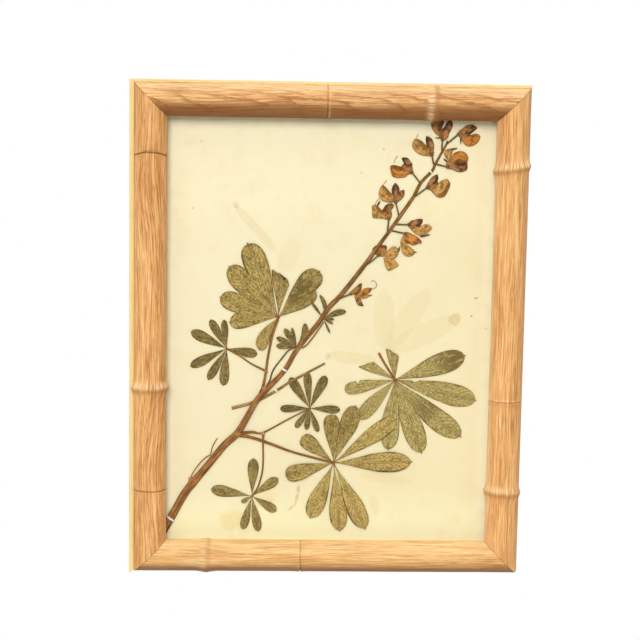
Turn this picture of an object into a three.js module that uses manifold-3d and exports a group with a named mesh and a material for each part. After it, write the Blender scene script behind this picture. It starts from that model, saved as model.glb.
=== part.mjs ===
import * as THREE from 'three';
import { mergeVertices } from 'three/addons/utils/BufferGeometryUtils.js';
import Module from 'manifold-3d';

const wasm = await Module();
wasm.setup();

// A pressed lupin in a hanging frame of half-round oak carved as bamboo.
// Picture space: X to the right and Y up from the middle of the sheet, Z from
// the wall towards the viewer. The last group turns it upright, so that Z is up
// and the front faces -Y. All sizes are in millimetres.

// Driving dimensions of the frame
const sightWidth = 206;
const sightHeight = 270;
const roundWidth = 20.5;
const crownRise = 10;
const springDepth = 10.8;
const lipWidth = 2.5;
const lipDepth = 9.4;
const lipChamfer = 0.7;
const quirkDepth = 0.7;
const rabbetWidth = 5;
const rabbetDepth = 10;
const ridgeHeight = 1.7;
const grooveDepth = 0.6;
const roundSteps = 6;
const mitreGap = 0.2;
const pieceGap = 0.3;

// What the rabbet holds, by depth from the wall
const paneSlack = 0.4;
const glassThickness = 1.9;
const paperThickness = 0.3;
const boardThickness = 2.4;
const boardBack = 2;
const glassBack = rabbetDepth - pieceGap - glassThickness;
const paperBack = boardBack + boardThickness + pieceGap;
const plantFloor = paperBack + paperThickness + pieceGap;

// Hanger on the back of the top rail
const hangerWidth = 42;
const hangerHeight = 9;
const hangerThickness = 0.8;
const hangerToothCount = 12;
const hangerToothHeight = 1.6;
const hangerToothPitch = 2.2;
const hangerLift = 146.5;
const nailSpacing = 34;
const nailShankRadius = 0.8;
const nailHeadRadius = 2;
const nailHeadThickness = 0.6;
const nailLength = 6;
const nailTaper = 2;
const nailHoleRadius = 1.15;
const nailHoleSides = 8;

// Flat steel points that keep the board in the rabbet
const pointWidth = 8;
const pointLength = 14;
const pointBite = 4.5;
const pointShoulder = 2;
const pointThickness = 0.5;
const pointBack = 1.1;

// Plant sizes
const bladeThickness = 0.35;
const petalThickness = 0.4;
const petalStep = 0.3;
const bladeStops = [0, 0.35, 0.7, 0.93, 1];
const narrowStops = [0, 0.5, 0.9, 1];
const narrowWidth = 3;
const stalkSides = 6;
const stemSides = 8;
const strapThickness = 0.2;

// Half-width of a lupin leaflet and of a petal, from base (0) to tip (1)
const leafletForm = (t) => Math.sin(Math.PI * (0.03 + 0.97 * t ** 1.5)) ** 0.62;
const petalForm = (t) => Math.sin(Math.PI * (0.05 + 0.95 * t ** 1.5)) ** 0.55;

const finish = (color, roughness, metalness = 0) => (
  new THREE.MeshStandardMaterial({ color, roughness, metalness })
);
const oak = finish('#dfa468', 0.45);
const clearGlass = new THREE.MeshStandardMaterial({
  color: '#f4f8f6', roughness: 0.05, transparent: true, opacity: 0.2,
});
const agedPaper = finish('#f7e9c0', 0.9);
const hardboard = finish('#8a6344', 0.85);
const zincSteel = finish('#b9bbbd', 0.35, 1);
const stemBrown = finish('#8c5434', 0.75);
const twigBrown = finish('#7a5236', 0.8);
const leafOlive = finish('#7d7145', 0.8);
const petalGold = finish('#b47d3e', 0.75);
const strapWhite = finish('#f6f3ea', 0.8);

const picture = new THREE.Group();

function addPiece(name, geometry, material, holder = picture) {
  geometry.deleteAttribute('uv');
  geometry.computeVertexNormals();
  const piece = new THREE.Mesh(geometry, material);
  piece.name = name;
  holder.add(piece);
  return piece;
}

function solidOf(geometry) {
  const bare = geometry.clone();
  bare.deleteAttribute('normal');
  bare.deleteAttribute('uv');
  const merged = mergeVertices(bare, 1e-4);
  return new wasm.Manifold(new wasm.Mesh({
    numProp: 3,
    vertProperties: new Float32Array(merged.attributes.position.array),
    triVerts: new Uint32Array(merged.index.array),
  }));
}

function geometryOf(solid) {
  const { vertProperties, triVerts } = solid.getMesh();
  const geometry = new THREE.BufferGeometry();
  geometry.setAttribute('position', new THREE.BufferAttribute(vertProperties, 3));
  geometry.setIndex(new THREE.BufferAttribute(triVerts, 1));
  return geometry;
}

function fuse(geometries) {
  return geometryOf(geometries.map(solidOf).reduce((whole, next) => whole.add(next)));
}

function carve(geometry, cutters) {
  const cut = cutters.map(solidOf).reduce((rest, next) => rest.subtract(next), solidOf(geometry));
  return geometryOf(cut);
}

// A flat plate of an outline, standing up from the given depth
function plate(shape, depth, thickness) {
  const geometry = new THREE.ExtrudeGeometry(shape, { depth: thickness, bevelEnabled: false });
  return geometry.translate(0, 0, depth);
}

function slab(width, height, back, thickness) {
  return new THREE.BoxGeometry(width, height, thickness).translate(0, 0, back + thickness / 2);
}

// Moulding section: u runs outwards from the sight edge, the second number is depth
function mouldingShape() {
  const outer = roundWidth + lipWidth;
  const shape = new THREE.Shape();
  shape.moveTo(rabbetWidth, 0);
  shape.lineTo(outer, 0);
  shape.lineTo(outer, lipDepth - lipChamfer);
  shape.lineTo(outer - lipChamfer, lipDepth);
  shape.lineTo(roundWidth + lipChamfer, lipDepth);
  shape.lineTo(roundWidth - quirkDepth, (lipDepth + springDepth) / 2);
  shape.absellipse(roundWidth / 2, springDepth, roundWidth / 2, crownRise, 0, Math.PI);
  shape.lineTo(0, rabbetDepth);
  shape.lineTo(rabbetWidth, rabbetDepth);
  shape.closePath();
  return shape;
}

// Swelling of the round along a node, as distance from it and share of its height
const ridgeForm = [[-8, 0], [-4, 0.35], [-1.2, 0.85], [0, 1], [1.2, 0.8], [4, 0.3], [8, 0]];
const grooveForm = [[-0.8, 0], [0, -1], [0.8, 0]];

function railStations(ridges, grooves) {
  const rows = [];
  for (const place of ridges) {
    rows.push(...ridgeForm.map(([offset, share]) => [place + offset, share * ridgeHeight]));
  }
  for (const place of grooves) {
    rows.push(...grooveForm.map(([offset, share]) => [place + offset, share * grooveDepth]));
  }
  return rows.sort((a, b) => a[0] - b[0]);
}

// A rail as the top one lies: X along it, Y outwards, Z depth, ends mitred
function railGeometry(sightLength, sightAcross, ridges, grooves) {
  const stations = railStations(ridges, grooves);
  const steps = stations.length + 1;
  const geometry = new THREE.ExtrudeGeometry(mouldingShape(), {
    depth: 1, steps, bevelEnabled: false, curveSegments: roundSteps,
  });
  const points = geometry.attributes.position;
  for (let i = 0; i < points.count; i += 1) {
    const across = points.getX(i);
    const depth = points.getY(i);
    const step = Math.round(points.getZ(i) * steps);
    const mitre = sightLength / 2 + across - mitreGap;
    let along = step === 0 ? -mitre : mitre;
    let swell = 1;
    if (step > 0 && step < steps) {
      const [place, rise] = stations[step - 1];
      along = place;
      swell = 1 + rise / crownRise;
    }
    const onRound = depth >= springDepth - 1e-6;
    const middle = roundWidth / 2;
    const acrossNow = onRound ? middle + (across - middle) * swell : across;
    const depthNow = onRound ? springDepth + (depth - springDepth) * swell : depth;
    points.setXYZ(i, along, sightAcross / 2 + acrossNow, depthNow);
  }
  return geometry;
}

// Ridges and grooves by their place along each rail, read in the rail's own X
const rails = [
  {
    name: 'rail_top', turn: 0, length: sightWidth, across: sightHeight,
    ridges: [62.5], grooves: [-3.5], points: [-45],
  },
  {
    name: 'rail_right', turn: -Math.PI / 2, length: sightHeight, across: sightWidth,
    ridges: [-105.5, 101.5], grooves: [42.5], points: [-75, 75],
  },
  {
    name: 'rail_bottom', turn: Math.PI, length: sightWidth, across: sightHeight,
    ridges: [77], grooves: [16.5], points: [0],
  },
  {
    name: 'rail_left', turn: Math.PI / 2, length: sightHeight, across: sightWidth,
    ridges: [-36], grooves: [112.5, -101.5], points: [-75, 75],
  },
];

// A diamond plate, half of it driven into the rabbet wall
function pointGeometry(place, sightAcross, grow = 0) {
  const wall = sightAcross / 2 + rabbetWidth;
  const shape = new THREE.Shape();
  const side = pointWidth / 2 + grow;
  const tip = wall + pointBite + grow;
  shape.moveTo(place - side, wall - pointShoulder);
  shape.lineTo(place, wall - pointLength + pointBite - grow);
  shape.lineTo(place + side, wall - pointShoulder);
  shape.lineTo(place, tip);
  shape.closePath();
  return plate(shape, pointBack - grow, pointThickness + 2 * grow);
}

function nailGeometry() {
  const head = -pieceGap * 2 - hangerThickness;
  const profile = [
    new THREE.Vector2(0, head - nailHeadThickness),
    new THREE.Vector2(nailHeadRadius, head - nailHeadThickness),
    new THREE.Vector2(nailHeadRadius, head),
    new THREE.Vector2(nailShankRadius, head),
    new THREE.Vector2(nailShankRadius, nailLength - nailTaper),
    new THREE.Vector2(0, nailLength),
  ];
  return new THREE.LatheGeometry(profile, 10).rotateX(Math.PI / 2);
}

const nailLift = hangerLift + hangerHeight * 0.45;

function nailHole(place, back, front) {
  const hole = new THREE.CylinderGeometry(nailHoleRadius, nailHoleRadius, front - back, nailHoleSides);
  return hole.rotateX(Math.PI / 2).translate(place, nailLift, (back + front) / 2);
}

for (const rail of rails) {
  const holder = new THREE.Group();
  holder.rotation.z = rail.turn;
  picture.add(holder);
  const cutters = rail.points.map((place) => pointGeometry(place, rail.across, pieceGap));
  if (rail.turn === 0) {
    for (const side of [-1, 1]) {
      cutters.push(nailHole(side * nailSpacing / 2, -1, nailLength + 1));
    }
  }
  const whole = railGeometry(rail.length, rail.across, rail.ridges, rail.grooves);
  addPiece(rail.name, carve(whole, cutters), oak, holder);
  rail.points.forEach((place, index) => {
    const name = `${rail.name.replace('rail', 'point')}_${index + 1}`;
    addPiece(name, pointGeometry(place, rail.across), zincSteel, holder);
  });
}

// Glass, sheet and board fill the rabbet with a little slack
const paneWidth = sightWidth + 2 * (rabbetWidth - paneSlack);
const paneHeight = sightHeight + 2 * (rabbetWidth - paneSlack);
addPiece('glass', slab(paneWidth, paneHeight, glassBack, glassThickness), clearGlass);
addPiece('mount_paper', slab(paneWidth, paneHeight, paperBack, paperThickness), agedPaper);
addPiece('backing_board', slab(paneWidth, paneHeight, boardBack, boardThickness), hardboard);

// Sawtooth hanger, toothed along its lower edge
function hangerGeometry() {
  const shape = new THREE.Shape();
  const half = hangerWidth / 2;
  const toothHalf = (hangerToothCount * hangerToothPitch) / 2;
  const low = hangerLift - hangerToothHeight / 2;
  shape.moveTo(-half, low + hangerHeight);
  shape.lineTo(-half, low + hangerToothHeight);
  shape.lineTo(-toothHalf, low);
  for (let tooth = 0; tooth < hangerToothCount; tooth += 1) {
    const start = -toothHalf + tooth * hangerToothPitch;
    shape.lineTo(start + hangerToothPitch / 2, low + hangerToothHeight);
    shape.lineTo(start + hangerToothPitch, low);
  }
  shape.lineTo(half, low + hangerToothHeight);
  shape.lineTo(half, low + hangerHeight);
  shape.closePath();
  const back = -pieceGap - hangerThickness;
  const whole = plate(shape, back, hangerThickness);
  const holes = [-1, 1].map((side) => nailHole(side * nailSpacing / 2, back - 1, 1));
  return carve(whole, holes);
}

addPiece('hanger', hangerGeometry(), zincSteel);
for (const [name, side] of [['hanger_nail_left', -1], ['hanger_nail_right', 1]]) {
  const nail = addPiece(name, nailGeometry(), zincSteel);
  nail.position.set(side * nailSpacing / 2, nailLift, 0);
}

// A flattened stalk through stations of x, y, depth of its back, width and thickness
function stalk(stations, sides = stalkSides) {
  const ring = new THREE.Shape();
  for (let i = 0; i < sides; i += 1) {
    const angle = (2 * Math.PI * i) / sides;
    const corner = [Math.cos(angle) / 2, Math.sin(angle) / 2];
    if (i === 0) ring.moveTo(...corner);
    else ring.lineTo(...corner);
  }
  ring.closePath();
  const steps = stations.length - 1;
  const geometry = new THREE.ExtrudeGeometry(ring, { depth: 1, steps, bevelEnabled: false });
  const points = geometry.attributes.position;
  for (let i = 0; i < points.count; i += 1) {
    const step = Math.round(points.getZ(i) * steps);
    const before = stations[Math.max(step - 1, 0)];
    const after = stations[Math.min(step + 1, steps)];
    const run = Math.hypot(after[0] - before[0], after[1] - before[1]);
    const sideX = (after[1] - before[1]) / run;
    const sideY = -(after[0] - before[0]) / run;
    const [x, y, back, width, thickness] = stations[step];
    const offset = points.getX(i) * width;
    const depth = back + (0.5 - points.getY(i)) * thickness;
    points.setXYZ(i, x + sideX * offset, y + sideY * offset, depth);
  }
  return geometry;
}

// Outline of a leaflet or petal that leaves a point, by turn in degrees, reach and width
function bladeShape(root, [turn, reach, width, bend = 0, cut = 1], form) {
  const angle = THREE.MathUtils.degToRad(turn);
  const along = new THREE.Vector2(Math.cos(angle), Math.sin(angle));
  const side = new THREE.Vector2(-along.y, along.x);
  const left = [];
  const right = [];
  for (const stop of width < narrowWidth ? narrowStops : bladeStops) {
    const t = stop * cut;
    const sway = bend * Math.sin(Math.PI * t);
    const middle = new THREE.Vector2(...root)
      .addScaledVector(along, t * reach)
      .addScaledVector(side, sway);
    const half = (width / 2) * form(t);
    if (half < 0.02 * width) {
      left.push(middle);
      continue;
    }
    left.push(middle.clone().addScaledVector(side, half));
    right.unshift(middle.clone().addScaledVector(side, -half));
  }
  return new THREE.Shape([...left, ...right]);
}

// Main stem: x, y, width and how far it is lifted over what lies below it
const stemRoute = [
  [-104.5, -131.5, 4.3], [-99.5, -123, 4.2], [-90.5, -107.5, 3.9], [-84, -99, 4.4],
  [-76, -89, 3.7], [-65, -75, 3.6], [-56, -65.5, 3.7, 0.35], [-45.5, -45.5, 3.4, 1],
  [-39.5, -38, 3.5, 0.6], [-28, -25, 3.3], [-21.5, -13.5, 3.1], [-15, -4, 3.1],
  [-7.5, 5.5, 3], [0, 16, 2.9], [6.5, 23, 2.7], [15.5, 34.5, 2.5], [24, 46, 2.4],
  [29.5, 54, 2.3], [37, 65, 2.2], [42.5, 73, 2.1], [51.5, 87, 1.9], [56, 96, 1.8],
  [63, 103.5, 1.6], [65, 107.5, 1.5], [69, 115, 1.3], [72, 120, 1.1], [72.5, 122.5, 0.8],
];
const stemFlattening = 0.35;
const tendrilRoute = [
  [-84.5, -98], [-87, -95.5], [-85.5, -91.5], [-81.5, -86], [-77.5, -82], [-75, -80.5],
  [-74, -76.5], [-72.5, -73], [-70.5, -69.5],
];
const tendrilWidth = 0.7;

const stemStations = stemRoute.map(([x, y, width, lift = 0]) => (
  [x, y, plantFloor + lift, width, Math.max(width * stemFlattening, 0.5)]
));
const tendrilStations = tendrilRoute.map(([x, y]) => (
  [x, y, plantFloor + 0.2, tendrilWidth, tendrilWidth]
));
addPiece('stem', fuse([stalk(stemStations, stemSides), stalk(tendrilStations)]), stemBrown);

// Bare twig under the stem: x, y and width
const twigRoute = [
  [-61.5, -50, 2.5], [-46, -45.5, 2.3], [-33, -39, 2.1], [-24.5, -33.5, 1.9],
  [-13, -27, 1.6], [-2, -21, 1.2],
];
const twigThickness = 0.7;
const twigStations = twigRoute.map(([x, y, width]) => [x, y, plantFloor, width, twigThickness]);
addPiece('twig', stalk(twigStations), twigBrown);

// Leaves: hub on the sheet, how far the blade lies above the plant's floor, leaflets as
// turn in degrees, reach, width, sideways bend and share left where torn, and the stalk
// as x, y and lift, from the hub outwards
const leaves = [
  {
    name: 'leaf_upper_left', hub: [-32.5, 9], lift: 0.65, hubRadius: 1.6,
    leaflets: [
      [112, 51, 14.5], [138, 45.5, 11, 1.5], [163, 39, 12], [187, 31, 9.5, -1], [241, 24, 7.5, -1.5],
      [86, 40, 13, 0, 0.66], [48, 40, 13.5, 1], [35, 29.5, 9],
    ],
    stalk: [[-32.5, 8, 0.6], [-35.5, -2, 0.4], [-37.5, -11.5, 0.3], [-39, -19, 0.3],
      [-40, -27, 0.3], [-41.2, -34, 0.3]],
    stalkWidth: 1.1,
  },
  {
    name: 'leaf_left', hub: [-65, -11.5], lift: 0, hubRadius: 1.1,
    leaflets: [
      [157, 25.5, 6.5], [119, 21.5, 5.5], [97, 18.5, 4.5], [350, 19.5, 6.5], [207, 26, 6],
      [242, 23.5, 5.5], [265, 24, 7],
    ],
    stalk: [[-64.5, -11.7, 0], [-56, -16.5, 0], [-49, -21.5, 0], [-41.8, -25, 0]],
    stalkWidth: 0.8,
  },
  {
    name: 'leaf_tuft', hub: [-20.5, -9.5], lift: 1.5, hubRadius: 0.8,
    leaflets: [
      [158, 14, 3.2], [126, 13.5, 3.8], [105, 12, 2], [67, 15.5, 4.5, -2], [179, 13, 3.8],
      [57, 9.5, 1.4],
    ],
    stalk: [[-20.5, -9.5, 1.4], [-25.2, -11.5, 1.2], [-29, -17.5, 0.6], [-36.5, -27, 0.1],
      [-37.8, -30, 0.1]],
    stalkWidth: 0.7,
  },
  {
    name: 'leaf_axil', hub: [-3.5, 8.5], lift: 1.5, hubRadius: 1.2,
    leaflets: [
      [20, 15, 3.8, 1], [99, 15.5, 2.8, -2], [127, 12, 1.4], [293, 10, 1.4], [332, 6.5, 1.4],
      [358, 6.5, 1.4],
    ],
  },
  {
    name: 'leaf_centre', hub: [-11.5, -49.5], lift: 1.05, hubRadius: 1.1,
    leaflets: [
      [123, 23.5, 5.5], [95, 23.5, 5], [64, 23.5, 6.5], [183, 19, 5], [357, 19.5, 5],
      [235, 15.5, 4.5], [262, 14, 3.8], [290, 16, 4],
    ],
    stalk: [[-12, -49.8, 1], [-26, -58, 0.6], [-41.3, -66.2, 0.3], [-48, -65.6, 0.3],
      [-53.6, -65.8, 0.3]],
    stalkWidth: 0.9,
  },
  {
    name: 'leaf_lower_right', hub: [4.5, -85], lift: 0.65, hubRadius: 1.6,
    leaflets: [
      [143, 26, 9.5], [93, 31.5, 10], [70, 39, 12], [35, 49.5, 11.5], [1, 51.5, 14],
      [296, 49, 12.5], [276, 46, 12], [249, 40, 12.5], [195, 32, 11],
    ],
    stalk: [[4, -85, 0.6], [-12, -81, 0.3], [-24.5, -77.5, 0], [-36.5, -73.2, 0],
      [-49, -69.8, 0], [-55, -69.8, 0.1]],
    stalkWidth: 0.9,
  },
  {
    name: 'leaf_right', hub: [43, -30.5], lift: 0, hubRadius: 1.6,
    leaflets: [
      [152, 34, 8, 0, 0.62], [96, 29, 8.5, 0, 0.62], [20, 48, 13], [346, 54.5, 14.5],
      [319, 57.5, 14, -1.5], [292, 51.5, 13.5], [267, 46.5, 12], [230, 35, 9.5], [193, 33, 9],
    ],
    stalk: [[42.5, -30, 0], [36.5, -20.5, 0], [32.5, -13.5, 0]],
    stalkWidth: 1.4,
  },
  {
    name: 'leaf_lower_left', hub: [-48, -107.5], lift: 0.3, hubRadius: 1.1,
    leaflets: [
      [171, 27, 7.5], [85, 25, 7], [36, 20.5, 6], [332, 18.5, 5.5], [280, 23.5, 5.5],
      [256, 22.5, 5.5], [213, 7.5, 2.5],
    ],
    stalk: [[-47.5, -107.2, 0.3], [-44, -101.5, 0.3], [-42, -95, 0.3], [-41, -89, 0.4],
      [-41, -81.5, 0.8], [-41.2, -75, 1.25], [-41.4, -69.4, 1.1]],
    stalkWidth: 0.8,
  },
];

for (const leaf of leaves) {
  const depth = plantFloor + leaf.lift;
  const pieces = leaf.leaflets.map((leaflet) => (
    plate(bladeShape(leaf.hub, leaflet, leafletForm), depth, bladeThickness)
  ));
  const hub = new THREE.CylinderGeometry(leaf.hubRadius, leaf.hubRadius, bladeThickness, 7);
  pieces.push(hub.rotateX(Math.PI / 2).translate(...leaf.hub, depth + bladeThickness / 2));
  if (leaf.stalk) {
    const width = leaf.stalkWidth;
    pieces.push(stalk(leaf.stalk.map(([x, y, lift]) => [x, y, plantFloor + lift, width, width * 0.8])));
  }
  addPiece(leaf.name, fuse(pieces), leafOlive);
}

// Flowers from the tip down: where the stalk leaves the stem, the calyx, and petals as
// turn in degrees, reach, width and sideways bend. The last petals lie over the first.
const flowers = [
  {
    root: [69.4, 117], calyx: [69.5, 123],
    petals: [[111, 12.5, 7.3, 1], [70, 12.9, 5.4, -1]],
  },
  {
    root: [73.5, 121.4], calyx: [79.6, 126.7],
    petals: [[341, 14.5, 7.7], [282, 6.7, 1.6], [18, 12.6, 5.1, 1]],
  },
  {
    root: [66, 107.7], calyx: [73, 106],
    petals: [[31, 14.5, 7.3], [95, 11.3, 5.1], [64, 12.7, 1.6], [358, 12.7, 5.7]],
  },
  {
    root: [64, 108.2], calyx: [63, 113.5],
    petals: [[145, 14.7, 8.3], [102, 11.6, 5.4, -0.6]],
  },
  {
    root: [55.6, 96.2], calyx: [50.5, 102.4],
    petals: [[175, 13.4, 8], [121, 10.9, 5.1]],
  },
  {
    root: [53.3, 87], calyx: [60.8, 93],
    petals: [[354, 13.8, 8.9], [55, 9.1, 5.1]],
  },
  {
    root: [42.7, 76], calyx: [40.8, 83.3],
    petals: [[130, 14.5, 8.2], [62, 8.6, 4.5], [91, 11.7, 4.1]],
  },
  {
    root: [36, 66], calyx: [36.7, 72.7],
    petals: [[147, 12, 8], [100, 9.7, 5.4, -0.5]],
  },
  {
    root: [42.6, 69.6], calyx: [49.6, 69.2],
    petals: [[341, 15, 6.1], [336, 14.3, 1.3], [13, 8.9, 5.7]],
  },
  {
    root: [39.6, 65], calyx: [47.4, 63.5],
    petals: [[311, 14.2, 7], [278, 14.5, 7], [334, 11.3, 2.6], [303, 14.3, 2.6]],
  },
  {
    root: [25.5, 45.6], calyx: [31.8, 51.6], elbow: [30.2, 48],
    petals: [[354, 11.5, 7], [314, 15.5, 6.4], [165, 6.5, 6.4]],
  },
  {
    root: [6.8, 21.4], calyx: [13.5, 24.7],
    petals: [[6, 13.4, 5.1], [357, 13.7, 1.6], [318, 11.4, 3.2], [42, 8.8, 5.7]],
  },
];
const pedicelWidth = 0.8;
const pedicelClear = 1.3;
const calyxRadius = 0.9;
const flowerLift = 1.15;

flowers.forEach((flower, index) => {
  const depth = plantFloor + flowerLift;
  const pieces = flower.petals.map((petal, order) => {
    const upper = order === flower.petals.length - 1 ? petalStep : 0;
    return plate(bladeShape(flower.calyx, petal, petalForm), depth + upper, petalThickness);
  });
  const calyx = new THREE.SphereGeometry(calyxRadius, 6, 3);
  calyx.scale(1, 1, 0.6).translate(...flower.calyx, depth + petalThickness / 2);
  pieces.push(calyx);
  const way = flower.elbow ?? flower.calyx;
  const run = Math.hypot(way[0] - flower.root[0], way[1] - flower.root[1]);
  const start = flower.root.map((value, axis) => (
    value + ((way[axis] - value) * pedicelClear) / run
  ));
  const route = flower.elbow ? [start, flower.elbow, flower.calyx] : [start, flower.calyx];
  pieces.push(stalk(route.map(([x, y], step) => [
    x, y, plantFloor + 0.15 + (flowerLift - 0.3) * (step / (route.length - 1)),
    pedicelWidth, pedicelWidth * 0.8,
  ])));
  addPiece(`flower_${index + 1}`, fuse(pieces), petalGold);
});

// Paper straps: middle, turn in degrees, length, width, and the stalk each one bridges
const straps = [
  { middle: [-99.5, -123], turn: -30, length: 7, width: 1.2, bridge: 4.2, height: 1.47 },
  { middle: [-28, -25], turn: -38, length: 5.8, width: 1.1, bridge: 3.3, height: 1.16 },
  { middle: [62.5, 103], turn: -42, length: 4, width: 1, bridge: 1.7, height: 0.6 },
  { middle: [-33, -39], turn: -57, length: 4.4, width: 1.1, bridge: 2.1, height: 0.7 },
];

function strapGeometry({ length, width, bridge, height }) {
  const half = bridge / 2;
  const arch = [
    [length / 2, 0], [half + 0.4, 0], [half + 0.4, height * 0.6], [half * 0.6, height + pieceGap],
  ];
  const inner = [...arch, ...arch.map(([u, depth]) => [-u, depth]).reverse()];
  const crest = [
    [length / 2, strapThickness], [half + 0.4 + strapThickness, strapThickness],
    [half + 0.4 + strapThickness, height * 0.6 + strapThickness / 2],
    [half * 0.6 + strapThickness / 2, height + pieceGap + strapThickness],
  ];
  const outer = [...crest, ...crest.map(([u, depth]) => [-u, depth]).reverse()];
  const shape = new THREE.Shape();
  [...outer, ...inner.reverse()].forEach(([u, depth], index) => {
    if (index === 0) shape.moveTo(u, depth);
    else shape.lineTo(u, depth);
  });
  shape.closePath();
  const geometry = new THREE.ExtrudeGeometry(shape, { depth: width, bevelEnabled: false });
  return geometry.translate(0, 0, -width / 2).rotateX(Math.PI / 2);
}

straps.forEach((strap, index) => {
  const piece = addPiece(`strap_${index + 1}`, strapGeometry(strap), strapWhite);
  piece.position.set(...strap.middle, plantFloor);
  piece.rotation.z = THREE.MathUtils.degToRad(strap.turn);
});

// The origin is where the frame hangs, on the back of the top rail
const frame = new THREE.Group();
picture.rotation.x = Math.PI / 2;
picture.position.z = -hangerLift;
frame.add(picture);

export default frame;
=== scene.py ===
import math

import bmesh
import bpy
import numpy as np
from mathutils import Matrix, Vector, noise


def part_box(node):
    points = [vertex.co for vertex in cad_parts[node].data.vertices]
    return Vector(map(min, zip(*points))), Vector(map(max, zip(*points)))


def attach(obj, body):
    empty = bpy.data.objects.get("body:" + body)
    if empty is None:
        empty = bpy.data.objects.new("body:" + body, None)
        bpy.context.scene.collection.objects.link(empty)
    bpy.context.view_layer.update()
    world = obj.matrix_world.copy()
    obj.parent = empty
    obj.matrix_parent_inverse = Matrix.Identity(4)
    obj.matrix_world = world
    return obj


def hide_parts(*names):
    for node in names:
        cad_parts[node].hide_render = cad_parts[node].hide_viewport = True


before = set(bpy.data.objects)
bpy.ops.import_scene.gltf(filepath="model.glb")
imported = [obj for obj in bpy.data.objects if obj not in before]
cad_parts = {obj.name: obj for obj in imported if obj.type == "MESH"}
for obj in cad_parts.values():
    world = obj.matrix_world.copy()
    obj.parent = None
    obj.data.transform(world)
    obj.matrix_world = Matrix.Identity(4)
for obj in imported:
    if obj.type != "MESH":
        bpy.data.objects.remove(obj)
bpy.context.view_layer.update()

# Picture space, in millimetres: x right and y up from the sheet's middle, depth from the wall
mm = 0.001
plantGap = 0.03  # between the sheet and what is pressed on it
glassLow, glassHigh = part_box("glass")
paperLow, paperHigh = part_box("mount_paper")
middleZ = (glassLow.z + glassHigh.z) / 2
paperFront = -paperLow.y / mm
plantFloor = paperFront + plantGap
print("frame loaded, sheet face", round(paperFront, 2), "mm from the wall")


def toWorld(points):
    points = np.asarray(points, dtype=float)
    turned = np.column_stack((points[:, 0], -points[:, 2], points[:, 1]))
    return turned * mm + (0, 0, middleZ)


def ripple(x, y, z=0.0):
    return noise.noise(Vector((x, y, z)))


def bell(offset, width):
    return math.exp(-(offset / width) ** 2)


def runLengths(points):
    steps = np.linalg.norm(np.diff(points, axis=0), axis=1)
    return np.concatenate(([0], np.cumsum(steps)))


def headings(turn):
    angle = math.radians(turn)
    along = np.array((math.cos(angle), math.sin(angle)))
    return along, np.array((-along[1], along[0]))


def turnOf(run):
    return math.degrees(math.atan2(run[1], run[0]))


def ringAngles(sides):
    return np.arange(sides) * 2 * math.pi / sides


# Node helpers: a socket given as a value is linked and says which tree it is in, anything else is set

def isSocket(value):
    return isinstance(value, bpy.types.NodeSocket)


def addNode(tree, kind, inputs=None, **settings):
    node = tree.nodes.new("ShaderNode" + kind)
    for name, value in settings.items():
        setattr(node, name, value)
    for name, value in (inputs or {}).items():
        if isSocket(value):
            tree.links.new(value, node.inputs[name])
        else:
            node.inputs[name].default_value = value
    return node


def joinNode(kind, inputs, **settings):
    tree = next(value.id_data for value in inputs.values() if isSocket(value))
    return addNode(tree, kind, inputs, **settings).outputs


def mathNode(operation, first, second=0.0, clamp=False):
    return joinNode("Math", {0: first, 1: second}, operation=operation, use_clamp=clamp)[0]


def times(first, second, clamp=False):
    return mathNode("MULTIPLY", first, second, clamp)


def plus(first, second):
    return mathNode("ADD", first, second)


def minus(first, second):
    return mathNode("SUBTRACT", first, second)


def vectorNode(operation, first, second):
    return joinNode("VectorMath", {0: first, 1: second}, operation=operation)[0]


def vectorOf(x, y, z):
    return joinNode("CombineXYZ", {0: x, 1: y, 2: z})[0]


def axes(vector):
    return joinNode("SeparateXYZ", {0: vector})


def mixValue(amount, first, second):
    return joinNode("Mix", {0: amount, 2: first, 3: second})[0]


def mixColor(amount, first, second, blend="MIX"):
    return joinNode("Mix", {0: amount, 6: first, 7: second}, data_type="RGBA", blend_type=blend)[2]


def tinted(color, tint, amount, strength):
    return mixColor(times(amount, strength), color, tint)


def fade(value, low, high, start=0.0, end=1.0):
    inputs = {"Value": value, "From Min": low, "From Max": high, "To Min": start, "To Max": end}
    return joinNode("MapRange", inputs, interpolation_type="SMOOTHSTEP")[0]


def feed(value, target):
    value.id_data.links.new(value, target)


# What a mesh carries at its points: a vector, or one number as Fac
def carried(tree, name, output="Vector"):
    return addNode(tree, "Attribute", attribute_name=name).outputs[output]


def newGroup(name, inputs, outputs):
    group = bpy.data.node_groups.new(name, "ShaderNodeTree")
    for way, sockets in (("INPUT", inputs), ("OUTPUT", outputs)):
        for kind, labels in sockets.items():
            for label in labels.split():
                group.interface.new_socket(label, in_out=way, socket_type="NodeSocket" + kind)
    start = group.nodes.new("NodeGroupInput")
    end = group.nodes.new("NodeGroupOutput")
    return group, start.outputs, end.inputs


def useGroup(group, inputs):
    return joinNode("Group", inputs, node_tree=group)


def newMaterial(name, roughness=0.8, gleam=0.5):
    material = bpy.data.materials.new(name)
    material.use_nodes = True
    shader = material.node_tree.nodes["Principled BSDF"].inputs
    shader["Roughness"].default_value = roughness
    shader["Specular IOR Level"].default_value = gleam
    return material, material.node_tree, shader


# Colour and relief of a surface; the relief's distance is in metres
def paint(shader, color, height, distance, strength):
    feed(color, shader["Base Color"])
    relief = joinNode("Bump", {"Height": height, "Distance": distance, "Strength": strength})[0]
    feed(relief, shader["Normal"])


# Camera and light

cameraSet = {
    "place": (-43.5, 135.7, 1000.0), "tilt": 7.338, "turn": 2.171, "roll": -0.943,
    "lens": 88.52, "sensor": 36.0,
}
lampSet = {
    "place": (-550.0, 1450.0, 2700.0), "aim": (0.0, 0.0, 10.0), "size": 1.3, "power": 54.0,
    "color": (1.0, 0.975, 0.94),
}
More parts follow.
